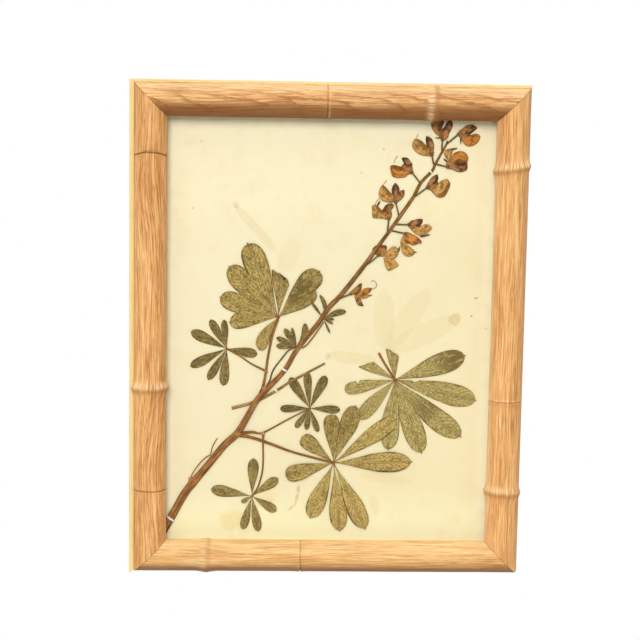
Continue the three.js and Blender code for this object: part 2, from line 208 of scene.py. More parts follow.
# Each runs over a span of directions and gives the light at both ends of it
studioSet = {
    "fromAbove": (-0.2, 0.4, 0.02, 1.02), "whiteWallBehind": (-0.1, 0.6, 1.0, 1.4),
    "darkRoomInFront": (-0.7, 0.1, 0.05, 0.8), "darkFloor": (-0.5, 0.1, 0.1, 1.0),
}


def makeCamera():
    data = bpy.data.cameras.new("photoCamera")
    data.lens = cameraSet["lens"]
    data.sensor_width = cameraSet["sensor"]
    camera = bpy.data.objects.new("photoCamera", data)
    bpy.context.scene.collection.objects.link(camera)
    turned = Matrix.Identity(3)
    for label, axis in (("roll", "Z"), ("tilt", "X"), ("turn", "Y")):
        turned = turned @ Matrix.Rotation(math.radians(cameraSet[label]), 3, axis)
    upright = Matrix.Rotation(math.pi / 2, 3, "X")
    place = Vector(toWorld([cameraSet["place"]])[0])
    camera.matrix_world = Matrix.Translation(place) @ (upright @ turned.transposed()).to_4x4()
    bpy.context.scene.camera = camera


def makeLight():
    data = bpy.data.lights.new("windowLight", "AREA")
    data.size = lampSet["size"]
    data.energy = lampSet["power"]
    data.color = lampSet["color"]
    lamp = bpy.data.objects.new("windowLight", data)
    bpy.context.scene.collection.objects.link(lamp)
    place, aim = (Vector(point) for point in toWorld([lampSet["place"], lampSet["aim"]]))
    lamp.location = place
    lamp.rotation_euler = (aim - place).to_track_quat("-Z", "Y").to_euler()


def makeWorld():
    world = bpy.data.worlds.new("studio")
    bpy.context.scene.world = world
    world.use_nodes = True
    tree = world.node_tree
    path = addNode(tree, "LightPath").outputs
    _, back, up = axes(addNode(tree, "TexCoord").outputs["Generated"])
    fill = times(fade(up, *studioSet["fromAbove"]), fade(back, *studioSet["whiteWallBehind"]))
    gloss = times(fade(back, *studioSet["darkRoomInFront"]), fade(up, *studioSet["darkFloor"]))
    strength = mixValue(path["Is Glossy Ray"], fill, gloss)
    strength = mixValue(path["Is Camera Ray"], strength, 1.0)
    background = tree.nodes["Background"].inputs
    feed(strength, background["Strength"])
    background["Color"].default_value = (1, 1, 1, 1)
    bpy.context.scene.view_settings.view_transform = "Standard"


makeCamera()
makeLight()
makeWorld()
print("camera and light set")


# Shared effects: streaks that run along a piece, and clouds

def makeStreaks():
    inputs = {"Vector": "Spot", "Float": "Along Across Detail Low High"}
    group, given, out = newGroup("streaks", inputs, {"Float": "Amount"})
    along, across, layer = axes(given["Spot"])
    stretched = vectorOf(times(along, given["Along"]), times(across, given["Across"]), layer)
    grain = {"Vector": stretched, "Scale": 1.0, "Detail": given["Detail"], "Roughness": 0.6}
    feed(fade(joinNode("TexNoise", grain)[0], given["Low"], given["High"]), out["Amount"])
    return group


def makeSpeckle():
    inputs = {"Vector": "Spot", "Float": "Scale Detail Low High"}
    group, given, out = newGroup("speckle", inputs, {"Float": "Amount"})
    grain = {"Vector": given["Spot"], "Scale": given["Scale"], "Detail": given["Detail"], "Roughness": 0.6}
    feed(fade(joinNode("TexNoise", grain)[0], given["Low"], given["High"]), out["Amount"])
    return group


streaks = makeStreaks()
speckle = makeSpeckle()


def streaksOn(spot, along, across, detail, low, high):
    inputs = {"Spot": spot, "Along": along, "Across": across, "Detail": detail, "Low": low, "High": high}
    return useGroup(streaks, inputs)["Amount"]


def cloud(spot, scale, detail, low, high):
    inputs = {"Spot": spot, "Scale": scale, "Detail": detail, "Low": low, "High": high}
    return useGroup(speckle, inputs)["Amount"]


# Mesh helpers: a part is a dictionary of points, faces and what its surface carries

def tubePart(rings, spots, shade=0, places=None):
    rows, count = rings.shape[:2]
    faces = []
    for row in range(rows - 1):
        for k in range(count):
            corners = ((row, k), (row, k + 1), (row + 1, k + 1), (row + 1, k))
            faces.append(tuple(line * count + place % count for line, place in corners))
    faces.append(tuple(range(count)))
    faces.append(tuple((rows - 1) * count + k for k in range(count)))
    points = rings.reshape(-1, 3)
    return {"points": points, "faces": faces, "spots": np.asarray(spots).reshape(-1, 3),
            "places": points if places is None else np.asarray(places).reshape(-1, 3), "shade": shade,
            "stain": np.zeros(len(points))}


def makePiece(name, parts, materials, node, sharpAngle=40, marks=None):
    faces, shades, offset = [], [], 0
    for part in parts:
        faces += [tuple(k + offset for k in face) for face in part["faces"]]
        shades += [part["shade"]] * len(part["faces"])
        offset += len(part["points"])
    mesh = bpy.data.meshes.new(name)
    mesh.from_pydata(toWorld(np.vstack([part["points"] for part in parts])).tolist(), [], faces)
    for label, key in (("spot", "spots"), ("place", "places")):
        layer = mesh.attributes.new(label, "FLOAT_VECTOR", "POINT")
        values = np.vstack([part[key] for part in parts])
        layer.data.foreach_set("vector", np.asarray(values, dtype=np.float32).ravel())
    marks = {"stain": np.concatenate([part["stain"] for part in parts]), **(marks or {})}
    for label, values in marks.items():
        layer = mesh.attributes.new(label, "FLOAT", "POINT")
        layer.data.foreach_set("value", np.asarray(values, dtype=np.float32).ravel())
    mesh.polygons.foreach_set("material_index", shades)
    mesh.polygons.foreach_set("use_smooth", [True] * len(faces))
    shaper = bmesh.new()
    shaper.from_mesh(mesh)
    bmesh.ops.recalc_face_normals(shaper, faces=shaper.faces)
    shaper.to_mesh(mesh)
    shaper.free()
    mesh.set_sharp_from_angle(angle=math.radians(sharpAngle))
    for material in materials:
        mesh.materials.append(material)
    piece = bpy.data.objects.new(name, mesh)
    bpy.context.scene.collection.objects.link(piece)
    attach(piece, "root")
    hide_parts(node)


def smoothRoute(route, spacing):
    route = np.asarray(route, dtype=float)
    padded = np.vstack((2 * route[0] - route[1], route, 2 * route[-1] - route[-2]))
    rows = []
    for k in range(1, len(padded) - 2):
        before, here, after, beyond = padded[k - 1:k + 3]
        steps = max(2, int(np.linalg.norm(after[:2] - here[:2]) / spacing))
        for t in np.arange(steps) / steps:
            rows.append(0.5 * (2 * here + (after - before) * t
                               + (2 * before - 5 * here + 4 * after - beyond) * t ** 2
                               + (3 * here - before - 3 * after + beyond) * t ** 3))
    rows.append(route[-1])
    return np.array(rows)


stalkLook = {"wobble": 0.06, "wobbleRun": 0.12, "twist": 0.4, "twistRun": 0.05}


# A flattened stalk along rows of x, y, back depth, width and thickness
def stalkPart(route, sides, spacing, ribs=0, ribDepth=0.0, shade=0, seed=0.0):
    look = stalkLook
    rows = smoothRoute(route, spacing)
    run = np.gradient(rows[:, :2], axis=0)
    run /= np.linalg.norm(run, axis=1)[:, None]
    gone = runLengths(rows[:, :2])
    angles = ringAngles(sides)
    rings, spots = (np.empty((len(rows), sides, 3)) for _ in range(2))
    for k, (x, y, back, width, thick) in enumerate(rows):
        wobble = 1 + look["wobble"] * ripple(gone[k] * look["wobbleRun"], seed)
        twist = look["twist"] * math.sin(gone[k] * look["twistRun"])
        swell = 1 + ribDepth * np.cos(ribs * angles + twist)
        side = np.cos(angles) * width / 2 * wobble * swell
        rings[k, :, 0] = x + run[k, 1] * side
        rings[k, :, 1] = y - run[k, 0] * side
        rings[k, :, 2] = back + thick / 2 * (1 + np.sin(angles) * swell)
        spots[k] = np.column_stack((np.full(sides, gone[k]), np.cos(angles), np.sin(angles)))
    return tubePart(rings, spots, shade)


# Front points, surface places and stains of a thin sheet, closed with a back
def sheetPart(front, thick, spots, laid, stains, shade):
    back = front[:, ::-1].copy()
    back[:, :, 2] -= thick

    def both(rows):
        return np.concatenate((rows, rows[:, ::-1]), axis=1)

    part = tubePart(np.concatenate((front, back), axis=1), both(spots), shade, both(laid))
    part["stain"] = both(stains).ravel()
    return part


# Along and across the blade, in shares of its length and half width
bladeSet = {
    "crowding": 1.5, "end": 0.9995, "tornWave": 0.10, "tornRun": 2.3, "tornSlant": 0.16, "wavyRun": 4.5,
    "leastWidth": 0.02, "nickWidth": 0.022, "ribWidth": 0.14, "ribFades": 0.7, "buckleRun": 0.16,
    "lowest": -0.1,
}
seedSpread = 10  # keeps the patterns of two blades apart


# A leaflet that leaves a root point
def bladePart(root, blade, form, depth, look, shade=0, seed=0.0, stain=None, nick=None):
    s = bladeSet
    turn, reach, width, bend, cut = tuple(blade) + (0.0, 1.0)[len(blade) - 3:]
    along, aside = headings(turn)
    rows, cols = look["rows"], look["cols"]
    stops = 1 - (1 - np.linspace(0, 1, rows)) ** s["crowding"]
    front, spots, laid = (np.empty((rows, cols, 3)) for _ in range(3))
    stains = np.zeros((rows, cols))
    for row, stop in enumerate(stops):
        for k, u in enumerate(np.linspace(-1, 1, cols)):
            t = min(stop, s["end"]) * cut
            if cut < 1:
                torn = s["tornWave"] * ripple(u * s["tornRun"], seed, 4.0) + s["tornSlant"] * u
                t *= 1 + stop ** 4 * torn
            margin = 1 + look["wavy"] * ripple(t * s["wavyRun"], seed, 1.0 if u < 0 else 6.0)
            half = width / 2 * max(form(t), s["leastWidth"]) * margin
            if nick and u * nick[1] > 0:
                half *= 1 - nick[2] * bell(t - nick[0], s["nickWidth"])
            x, y = np.asarray(root) + along * t * reach + aside * (bend * math.sin(math.pi * t) + u * half)
            rise = look["cup"] * (1 - u * u) * math.sin(math.pi * t) ** 0.7
            rise -= look["rib"] * bell(u, s["ribWidth"]) * (1 - s["ribFades"] * t)
            # Blades that overlap share one buckle
            rise += look["buckle"] * (0.5 + ripple(x * s["buckleRun"], y * s["buckleRun"]))
            front[row, k] = (x, y, depth + max(rise, s["lowest"]))
            spots[row, k] = (u, stop * cut, seed)
            laid[row, k] = (t * reach, u * half, seed * seedSpread)
            if stain:
                middle, spread, strength = stain
                stains[row, k] = strength * math.exp(-((t - middle) / spread) ** 4)
    return sheetPart(front, look["thick"], spots, laid, stains, shade)


evenSet = {"spacing": 0.3, "short": 0.012}


# Points at even steps along a smooth edge, a little short of its ends
def evenRun(points, count):
    run = smoothRoute(points, evenSet["spacing"])
    gone = runLengths(run)
    stops = np.linspace(evenSet["short"], 1 - evenSet["short"], count) * gone[-1]
    return np.column_stack([np.interp(stops, gone, run[:, k]) for k in (0, 1)])


# Where a petal folds over, in shares of its half width and its length
foldSet = {"start": 0.05, "run": 0.5, "footStart": 0.15, "footRun": 0.3}


# A withered petal between its two edges, which share a root and a tip
def petalPart(edge, otherEdge, depth, look, shade, seed, foldSide):
    rows, cols = look["rows"], look["cols"]
    edges = evenRun(edge, rows), evenRun([edge[0], *otherEdge, edge[-1]], rows)
    reach = np.linalg.norm(np.subtract(edge[-1], edge[0]))
    front, spots, laid = (np.empty((rows, cols, 3)) for _ in range(3))
    stains = np.zeros((rows, cols))
    for row, t in enumerate(np.linspace(0, 1, rows)):
        first, last = edges[0][row], edges[1][row]
        half = np.linalg.norm(last - first) / 2
        for k, u in enumerate(np.linspace(-1, 1, cols)):
            x, y = first + (last - first) * (u + 1) / 2
            rise = look["cup"] * (1 - u * u) * min(half / 2, look["mostCup"])
            rise += look["buckle"] * ripple(x * look["buckleRun"], y * look["buckleRun"], seed)
            rise += look["crease"] * math.sin(u * look["creases"] + seed) * t
            front[row, k] = (x, y, depth + rise)
            spots[row, k] = (u, t, seed)
            laid[row, k] = (t * reach, u * half, seed * seedSpread)
            lean = np.clip((u * foldSide - foldSet["start"]) / foldSet["run"], 0, 1)
            lean *= np.clip((t - foldSet["footStart"]) / foldSet["footRun"], 0, 1)
            stains[row, k] = lean * lean * (3 - 2 * lean)  # dark where the petal folds over
    return sheetPart(front, look["thick"], spots, laid, stains, shade)


domeSet = {"sides": 14, "steps": 6, "lobes": 3, "lobeDepth": 0.12, "opening": 0.02}


# A low lobed dome, for leaf hubs, flower bases and scars
def domePart(x, y, depth, radius, height, shade=0):
    sides, steps = domeSet["sides"], domeSet["steps"]
    rings = np.empty((steps + 1, sides, 3))
    angles = ringAngles(sides)
    for k in range(steps + 1):
        slope = math.pi * (domeSet["opening"] + (1 - 2 * domeSet["opening"]) * k / steps)
        wide = radius * math.sin(slope) * (1 + domeSet["lobeDepth"] * np.cos(domeSet["lobes"] * angles + x))
        rings[k] = np.column_stack((x + wide * np.cos(angles), y + wide * np.sin(angles),
                                    np.full(sides, depth - height * math.cos(slope))))
    return tubePart(rings, np.zeros_like(rings), shade)


# Oak rails

moulding = {
    "sightWidth": 206.0, "sightHeight": 270.0, "roundWidth": 20.5, "roundSteps": 40, "crownRise": 10.0,
    "springDepth": 10.8, "lipDepth": 9.4, "rabbetWidth": 5.0, "rabbetDepth": 10.0, "mitreGap": 0.14,
    "ridgeHeight": 2.0, "ridgeRuns": (9.0, 8.5), "ridgeBlunt": 0.12, "ridgeHollow": 1.9,
    "grooveDepth": 0.91, "grooveWidth": 0.42, "burrHeight": 0.28, "burrWidth": 2.4,
    "rabbetArris": 0.4, "backArris": 0.5, "backStart": 8.0, "sightArris": 0.25, "taperEdge": 0.35,
    "side": (2.5, 1.0, 5), "taperedSide": (2.0, 0.6, 8),  # first depth, end below the lip and count
    "lipStart": 0.4, "spring": (0.4, 0.35),  # beside the round, and inside it and below its foot
    "lipEdge": [(0.15, 0.5), (0.45, 0.15), (0.9, 0.0)],  # inset and drop of its rounded edge
    "quirk": [(0.05, 0.15), (-0.5, 0.55)],  # outside the round and above the lip
}
plainFace, roundFace, lipFace, quirkFace = range(4)
# Ridges are place, slant and share of the height; grooves are place, bow, darkness and the side of their
# painted highlight; under gives the flank of each ridge that takes the painted shade
# In each grain, painted shade darkens one side of the round and painted light makes the other side paler
railSets = {
    "rail_top": {
        "turn": 0, "ridges": [(62.5, 0.6, 0.8)], "grooves": [(-3.5, 0.0, 0.16, 0.45)],
        "lip": 2.2, "taper": False, "lipTint": 0.7, "under": 1,
        "grain": {"Seed": 1.7, "Lean": 7.0, "Warp": 5.0, "Ticks": 0.11, "Depth": 0.42, "Rings": 0.85,
                  "Flame": 1.0, "ShadeFrom": 54.0, "ShadeTo": 62.0, "Shade": 0.88, "Worn": 0.28,
                  "Dark": (0.46, 0.195, 0.055, 1), "Mid": (0.72, 0.375, 0.135, 1),
                  "Pale": (0.90, 0.56, 0.25, 1)}},
    "rail_right": {
        "turn": 1, "ridges": [(-105.5, -3.4, 1.0), (101.5, 0.8, 0.95)], "grooves": [(42.5, 0.0, 0.08, -0.8)],
        "lip": 2.5, "taper": True, "lipTint": 0.0, "under": 1,
        "grain": {"Seed": 5.2, "Lean": 3.0, "Warp": 0.8, "Ticks": 0.045, "Depth": 0.40, "Rings": 0.22,
                  "ShadeFrom": 63.0, "ShadeTo": 55.0, "Worn": 0.42,
                  "Dark": (0.53, 0.235, 0.070, 1), "Mid": (0.78, 0.395, 0.138, 1),
                  "Pale": (0.93, 0.575, 0.245, 1)}},
    "rail_bottom": {
        "turn": 2, "ridges": [(77.0, 0.3, 0.58)], "grooves": [(16.5, 0.0, 0.12, 0.3)],
        "lip": 2.5, "taper": True, "lipTint": 0.0, "under": -1, "footShade": 0.8,
        "grain": {"Seed": 9.1, "Lean": 4.0, "Warp": 1.0, "Ticks": 0.06, "Depth": 0.30, "Rings": 0.25,
                  "ShadeFrom": 55.5, "ShadeTo": 46.5, "Shade": 0.75, "Worn": 0.22,
                  "Dark": (0.54, 0.26, 0.082, 1), "Mid": (0.80, 0.445, 0.156, 1),
                  "Pale": (0.95, 0.65, 0.295, 1)}},
    "rail_left": {
        "turn": 3, "ridges": [(-36.0, -0.5, 1.0)],
        "grooves": [(110.2, 2.3, 0.8, 0.0), (-101.7, -0.4, 0.5, 0.0)],
        "lip": 3.2, "taper": False, "lipTint": 0.8, "under": -1,
        "grain": {"Seed": 13.4, "Lean": 8.0, "Warp": 1.0, "Ticks": 0.08, "Depth": 0.55, "Rings": 0.3,
                  "ShadeFrom": 45.5, "ShadeTo": 40.6, "Shade": 0.5,
                  "Dark": (0.50, 0.215, 0.062, 1), "Mid": (0.75, 0.370, 0.126, 1),
                  "Pale": (0.91, 0.555, 0.235, 1)}},
}
# How far the hand carving wanders: size, then run along the rail or round it
waves = (0.16, 0.035, 0.09)
carveWander = {"ridges": [(0.35, 0.35), (0.25, 1.3)], "grooves": [(0.3, 0.2)]}
# Bands beside a ridge or a groove: painted light on the lit flank of a ridge (crest), painted shade on its
# other flank (under), a darker line along a groove (cut), and a painted highlight and painted shade on the
# two sides of a groove's step: distance before it and width
carvedBands = {
    "crest": (2.0, 2.2), "under": (-1.6, 1.6), "cut": (0.0, 0.45), "paleSide": (-1.0, 0.8),
    "darkSide": (1.3, 1.5),
}
# Rings of points along a rail, closer on both sides of what is carved
stationSet = {"spacing": 2.5, "ends": (2.0, 1.0), "ridges": (10.0, 41), "grooves": (2.4, 25)}
# Girths are measured round the section from its rabbet: where its face starts, the shaded foot of the round
# and the middle of the flames
faceGirth = (38.0, 40.0)
footGirth = {"start": 39.0, "end": 50.5, "run": 3.0}
flameGirth = 61.0
oakTints = {
    "ring": (0.36, 0.135, 0.032, 1), "pore": (0.36, 0.14, 0.038, 1), "fleck": (0.97, 0.70, 0.36, 1),
    "paintedShade": (0.24, 0.088, 0.019, 1), "paintedLight": (1.0, 0.78, 0.45, 1), "whisker": (0.99, 0.77, 0.42, 1),
    "under": (0.44, 0.18, 0.05, 1), "lip": (1.0, 0.74, 0.31, 1), "cut": (0.26, 0.10, 0.03, 1),
    "quirk": (0.20, 0.08, 0.025, 1),
}


def mouldingSection(rail):
    m = moulding
    outer = m["roundWidth"] + rail["lip"]
    lip, inner, rabbet = m["lipDepth"], m["rabbetWidth"], m["rabbetDepth"]
    middle = m["roundWidth"] / 2
    rows = [(inner, rabbet, plainFace), (inner, m["rabbetArris"], plainFace),
            (inner + m["rabbetArris"], 0, plainFace)]
    rows += [(u, 0, plainFace) for u in np.linspace(m["backStart"], outer - m["backArris"], 6)]
    rows += [(outer, m["backArris"], plainFace)]
    if rail["taper"]:
        narrowing = (rail["lip"] - m["taperEdge"]) / lip
        first, below, count = m["taperedSide"]
        rows += [(outer - narrowing * d, d, plainFace) for d in np.linspace(first, lip - below, count)]
    else:
        first, below, count = m["side"]
        rows += [(outer, d, plainFace) for d in np.linspace(first, lip - below, count)]
        for inset, drop in m["lipEdge"]:
            rows.append((outer - inset, lip - drop, lipFace))
    foot = m["roundWidth"]
    rows += [(foot + m["lipStart"], lip, lipFace)]
    rows += [(foot + outside, lip + above, quirkFace) for outside, above in m["quirk"]]
    inside, below = m["spring"]
    rows += [(foot - inside, m["springDepth"] - below, quirkFace)]
    for angle in np.linspace(0, math.pi, m["roundSteps"]):
        rise = m["springDepth"] + m["crownRise"] * math.sin(angle)
        rows.append((middle + middle * math.cos(angle), rise, roundFace))
    arris = m["sightArris"]
    rows += [(0.0, rabbet + arris, plainFace), (arris, rabbet, plainFace), (inner / 2, rabbet, plainFace)]
    return np.array(rows)


def ridgeRise(offset):
    m = moulding
    share = math.sqrt(offset * offset + m["ridgeBlunt"]) / m["ridgeRuns"][0 if offset < 0 else 1]
    return m["ridgeHeight"] * (1 - share) ** m["ridgeHollow"] if share < 1 else 0.0


def grooveRise(offset):
    m = moulding
    burr = m["burrHeight"] * bell(offset, m["burrWidth"])
    return burr - m["grooveDepth"] * bell(offset, m["grooveWidth"])


def wander(label, u, place, seed):
    return sum(size * ripple(u * run, place, seed) for size, run in carveWander[label])


def carvedBandAt(label, offset):
    before, width = carvedBands[label]
    return bell(offset + before, width)


def railStations(rail, half):
    before, after = stationSet["ends"]
    stops = list(np.arange(before - half, half - after, stationSet["spacing"]))
    for label in ("ridges", "grooves"):
        reach, count = stationSet[label]
        for place, *_ in rail[label]:
            stops += list(place + np.linspace(-reach, reach, count))
    return np.unique(np.round(stops, 2))


def turnRail(turn, along, outwards):
    return [(along, outwards), (outwards, -along), (-along, -outwards), (-outwards, along)][turn]


def makeRail(name, rail):
    m = moulding
    upright = rail["turn"] % 2 == 1
    half = (m["sightHeight"] if upright else m["sightWidth"]) / 2
    sight = (m["sightWidth"] if upright else m["sightHeight"]) / 2
    section = mouldingSection(rail)
    girth = runLengths(section[:, :2])
    stations = railStations(rail, half)
    middle = m["roundWidth"] / 2
    seed = rail["grain"]["Seed"]
    order = list(railSets.values())
    nextLips = [order[(rail["turn"] + step) % 4]["lip"] + m["roundWidth"] for step in (3, 1)]
    last = len(stations) + 1
    rings, spots = (np.empty((last + 1, len(section), 3)) for _ in range(2))
    crest, under, cut = (np.zeros((last + 1, len(section))) for _ in range(3))
    for row in range(last + 1):
        for k, (u, depth, face) in enumerate(section):
            if row == 0:
                along = m["mitreGap"] - half - min(u, nextLips[0])
            elif row == last:
                along = half + min(u, nextLips[1]) - m["mitreGap"]
            else:
                along = stations[row - 1]
                rise = waves[0] * ripple(along * waves[1], u * waves[2], seed) if face == roundFace else 0.0
                for place, slant, share in rail["ridges"]:
                    offset = along - place - slant * (u / m["roundWidth"] - 0.5)
                    offset += wander("ridges", u, place, seed)
                    rise += share * ridgeRise(offset)
                    # Painted light on the lit flank of each ridge, painted shade on the other flank
                    crest[row, k] += share * carvedBandAt("crest", offset * rail["under"])
                    under[row, k] += share * carvedBandAt("under", offset * rail["under"])
                for place, bow, darkness, pale in rail["grooves"]:
                    offset = along - place - bow * (1 - (u / middle - 1) ** 2)
                    offset += wander("grooves", u, place, seed)
                    rise += grooveRise(offset)
                    cut[row, k] += darkness * carvedBandAt("cut", offset)
                    side = 1 if pale > 0 else -1  # painted highlight on one side of the step, painted shade on the other
                    crest[row, k] += abs(pale) * carvedBandAt("paleSide", offset * side)
                    under[row, k] += 0.5 * abs(pale) * carvedBandAt("darkSide", offset * side)
                if face == roundFace:
                    swell = 1 + rise / m["crownRise"]
                    u = middle + (u - middle) * swell
                    depth = m["springDepth"] + (depth - m["springDepth"]) * swell
            rings[row, k] = (*turnRail(rail["turn"], along, sight + u), depth)
            spots[row, k] = (along, girth[k], seed)
    turned, lip, quirk = (section[:, 2] == face for face in (roundFace, lipFace, quirkFace))
    # Painted shade in the quirk beside the lip, and on the bottom rail along the shaded foot of the round
    foot = np.clip((footGirth["end"] - girth) / footGirth["run"], 0, 1) * (girth > footGirth["start"])
    quirk = np.maximum(quirk, rail.get("footShade", 0.0) * foot)
    marks = {"crest": crest * turned, "under": under * turned, "cut": cut * turned,
             "lip": np.tile(lip, len(rings)), "quirk": np.tile(quirk, len(rings))}
    material = oakMaterial(name, rail)
    makePiece(name + "_oak", [tubePart(rings, spots)], [material], name, sharpAngle=38, marks=marks)


def makeOakGrain():
    inputs = {"Vector": "Spot", "Color": "Dark Mid Pale",
              "Float": "Seed Lean Warp Ticks Depth Rings Flame ShadeFrom ShadeTo Shade Worn Crest"}
    group, given, out = newGroup("oakGrain", inputs, {"Color": "Color", "Float": "Tone Height"})
    along, girth, _ = axes(given["Spot"])

    def noiseAt(alongScale, acrossScale, detail, low, high, shift=0.0, across=girth):
        place = vectorOf(times(along, alongScale), times(across, acrossScale), plus(given["Seed"], shift))
        grain = {"Vector": place, "Scale": 1.0, "Detail": detail, "Roughness": 0.62}
        return fade(joinNode("TexNoise", grain)[0], low, high)

    sway = minus(noiseAt(0.009, 0.03, 1.0, 0.1, 0.9), 0.5)
    around = plus(girth, times(sway, given["Lean"]))
    broad = noiseAt(0.012, 0.16, 2.0, 0.28, 0.72, 3.0, around)
    lines = noiseAt(0.030, 1.15, 4.0, 0.30, 0.70, 7.0, around)
    hair = noiseAt(0.065, 2.3, 3.0, 0.32, 0.68, 11.0, around)
    pores = noiseAt(given["Ticks"], 1.55, 2.0, 0.57, 0.68, 17.0, around)
    flecks = noiseAt(0.11, 1.35, 2.0, 0.58, 0.70, 23.0, around)
    # Growth rings run along the rail, or cross it in flames where the board was cut flat
    bent = times(noiseAt(0.022, 0.07, 3.0, 0.15, 0.85, 29.0), given["Warp"])
    straight = plus(times(around, 0.24), bent)
    bow = mathNode("POWER", times(minus(around, flameGirth), 0.11), 2.0)
    flame = plus(plus(times(along, 0.034), bow), times(bent, 0.16))
    flame = plus(flame, times(noiseAt(0.3, 0.7, 2.0, 0.2, 0.8, 31.0), 0.12))
    ring = fade(mathNode("FRACT", mixValue(given["Flame"], straight, flame)), 0.5, 1.0)
    ring = times(mathNode("POWER", ring, 2.0), noiseAt(0.09, 0.5, 2.0, 0.25, 0.6, 33.0))
    tone = plus(plus(times(lines, 0.42), times(broad, 0.24)), times(hair, 0.34))
    color = mixColor(fade(tone, 0.22, 0.49), given["Dark"], given["Mid"])
    color = mixColor(fade(tone, 0.49, 0.80), color, given["Pale"])
    color = tinted(color, oakTints["ring"], ring, given["Rings"])
    color = tinted(color, oakTints["pore"], pores, given["Depth"])
    color = tinted(color, oakTints["fleck"], flecks, 0.40)
    # Painted shade darkens one side of the round and painted light makes the other side paler, by how each
    # side faces the light
    face = fade(girth, *faceGirth)
    shadeMask = times(fade(girth, given["ShadeFrom"], given["ShadeTo"]), given["Shade"])
    color = tinted(color, oakTints["paintedShade"], shadeMask, face)
    above = minus(times(given["ShadeFrom"], 2.0), given["ShadeTo"])
    litMask = times(fade(girth, given["ShadeFrom"], above), given["Worn"])
    color = tinted(color, oakTints["paintedLight"], litMask, face)
    # Streaks laid open across each carved ridge, pale and dark in turn, in the band on its lit flank; the
    # pale streaks are partly painted light, the dark ones take the painted shade of the under tint
    whisker = noiseAt(0.03, 1.7, 2.0, 0.41, 0.54, 37.0)
    color = tinted(color, oakTints["whisker"], times(given["Crest"], whisker), 0.65)
    color = tinted(color, oakTints["under"], times(given["Crest"], minus(1.0, whisker)), 0.5)
    feed(color, out["Color"])
    feed(tone, out["Tone"])
    feed(minus(times(lines, 0.5), pores), out["Height"])
    return group


oakGrain = makeOakGrain()


def oakMaterial(name, rail):
    material, tree, shader = newMaterial(name + "Oak", 0.6, 0.25)
    inputs = {"Spot": carried(tree, "spot"), "Crest": carried(tree, "crest", "Fac"), **rail["grain"]}
    grain = useGroup(oakGrain, inputs)
    color = grain["Color"]
    # Painted shade on the flank under each ridge crest and in the quirk and shaded foot, a pale strip on the
    # lip, and a darker line along each groove
    for mark, strength in (("under", 0.6), ("lip", rail["lipTint"]), ("cut", 1.0), ("quirk", 0.75)):
        color = tinted(color, oakTints[mark], carried(tree, mark, "Fac"), strength)
    paint(shader, color, grain["Height"], 0.00016, 0.8)
    feed(fade(grain["Tone"], 0.1, 0.9, 0.66, 0.50), shader["Roughness"])
    return material


for railName, railSet in railSets.items():
    makeRail(railName, railSet)
print("rails carved")


# Sheet, with the stains and the ghosts of lost leaves

sheetSet = {
    "cream": (0.93, 0.815, 0.49, 1), "tan": (0.86, 0.71, 0.40, 1), "fresh": (0.95, 0.87, 0.60, 1),
    "low": (1.0, 0.95, 0.585, 1), "heart": (0.955, 0.955, 0.965, 1), "edge": (1.0, 0.96, 0.69, 1),
    "cockle": 0.12, "cockleRun": (0.02, 0.015), "columns": 60, "rows": 78, "shake": 2.4,
}
# Fades over x, over y and along a slope, between two places on the sheet
sheetFades = {
    "slope": (-110.0, 130.0), "low": (-95.0, -130.0), "heart": (110.0, 80.0), "heartMiddle": -25.0,
    "right": (93.0, 105.0), "left": (-96.0, -104.0), "top": (118.0, 134.0),
}
ghostBrown, ochre, foxing = (0.78, 0.625, 0.30, 1), (0.70, 0.42, 0.13, 1), (0.5, 0.36, 0.18, 1)
# Marks on the sheet: middle x, y, turn, length, width, softness, strength and colour
sheetMarks = [
    (-47.2, 65.2, -47.4, 41.0, 6.4, 0.3, 0.44, (0.84, 0.65, 0.34, 1)),
    (-60.0, 80.0, -49, 5.0, 3.6, 0.5, 0.30, (0.62, 0.42, 0.2, 1)),
    (-26.0, 49.0, 70, 26.0, 15.0, 0.6, 0.24, ghostBrown),
    (35.2, 8.0, 93, 43.0, 15.0, 0.35, 0.30, ghostBrown),
    (49.9, 8.0, 56, 52.0, 15.0, 0.35, 0.30, ghostBrown),
    (60.4, -1.1, 26, 56.0, 15.0, 0.35, 0.30, ghostBrown),
    (80.5, 9.0, 40, 9.5, 8.5, 0.6, 0.42, ochre),
    (15.0, -16.8, 174, 35.0, 9.0, 0.4, 0.40, ghostBrown),
    (-0.5, -16.0, 60, 5.0, 4.0, 0.6, 0.40, (0.66, 0.44, 0.2, 1)),
    (39.4, -95.2, -8, 36.0, 8.0, 0.5, 0.30, ghostBrown),
    (31.5, -113.0, -72, 15.0, 7.0, 0.5, 0.32, ghostBrown),
    (-18.0, -103.1, -95, 7.5, 2.2, 0.5, 0.62, ochre),
    (-19.1, -109.6, -104, 8.5, 2.2, 0.5, 0.55, ochre),
    (-22.2, -114.8, -143, 7.5, 2.2, 0.5, 0.45, ochre),
    (-60.3, -123.5, 10, 21.0, 16.0, 0.95, 0.50, (0.86, 0.64, 0.22, 1)),
    (-39.0, -110.0, 20, 17.0, 12.0, 0.8, 0.35, (0.86, 0.64, 0.26, 1)),
    (-82.2, 119.7, 0, 1.3, 1.3, 0.5, 0.6, foxing),
    (-87.0, 77.7, 0, 1.1, 1.1, 0.5, 0.6, foxing),
    (32.5, 116.5, 30, 1.6, 1.1, 0.5, 0.7, (0.4, 0.28, 0.14, 1)),
    (18.9, 101.3, 0, 1.3, 1.3, 0.5, 0.6, foxing),
    (93.8, 22.8, 20, 2.8, 1.1, 0.5, 0.8, (0.32, 0.22, 0.12, 1)),
    (90.9, 11.2, 0, 1.5, 1.5, 0.5, 0.8, (0.36, 0.25, 0.12, 1)),
    (100.5, 2.9, 0, 1.3, 1.3, 0.5, 0.6, (0.45, 0.32, 0.16, 1)),
]


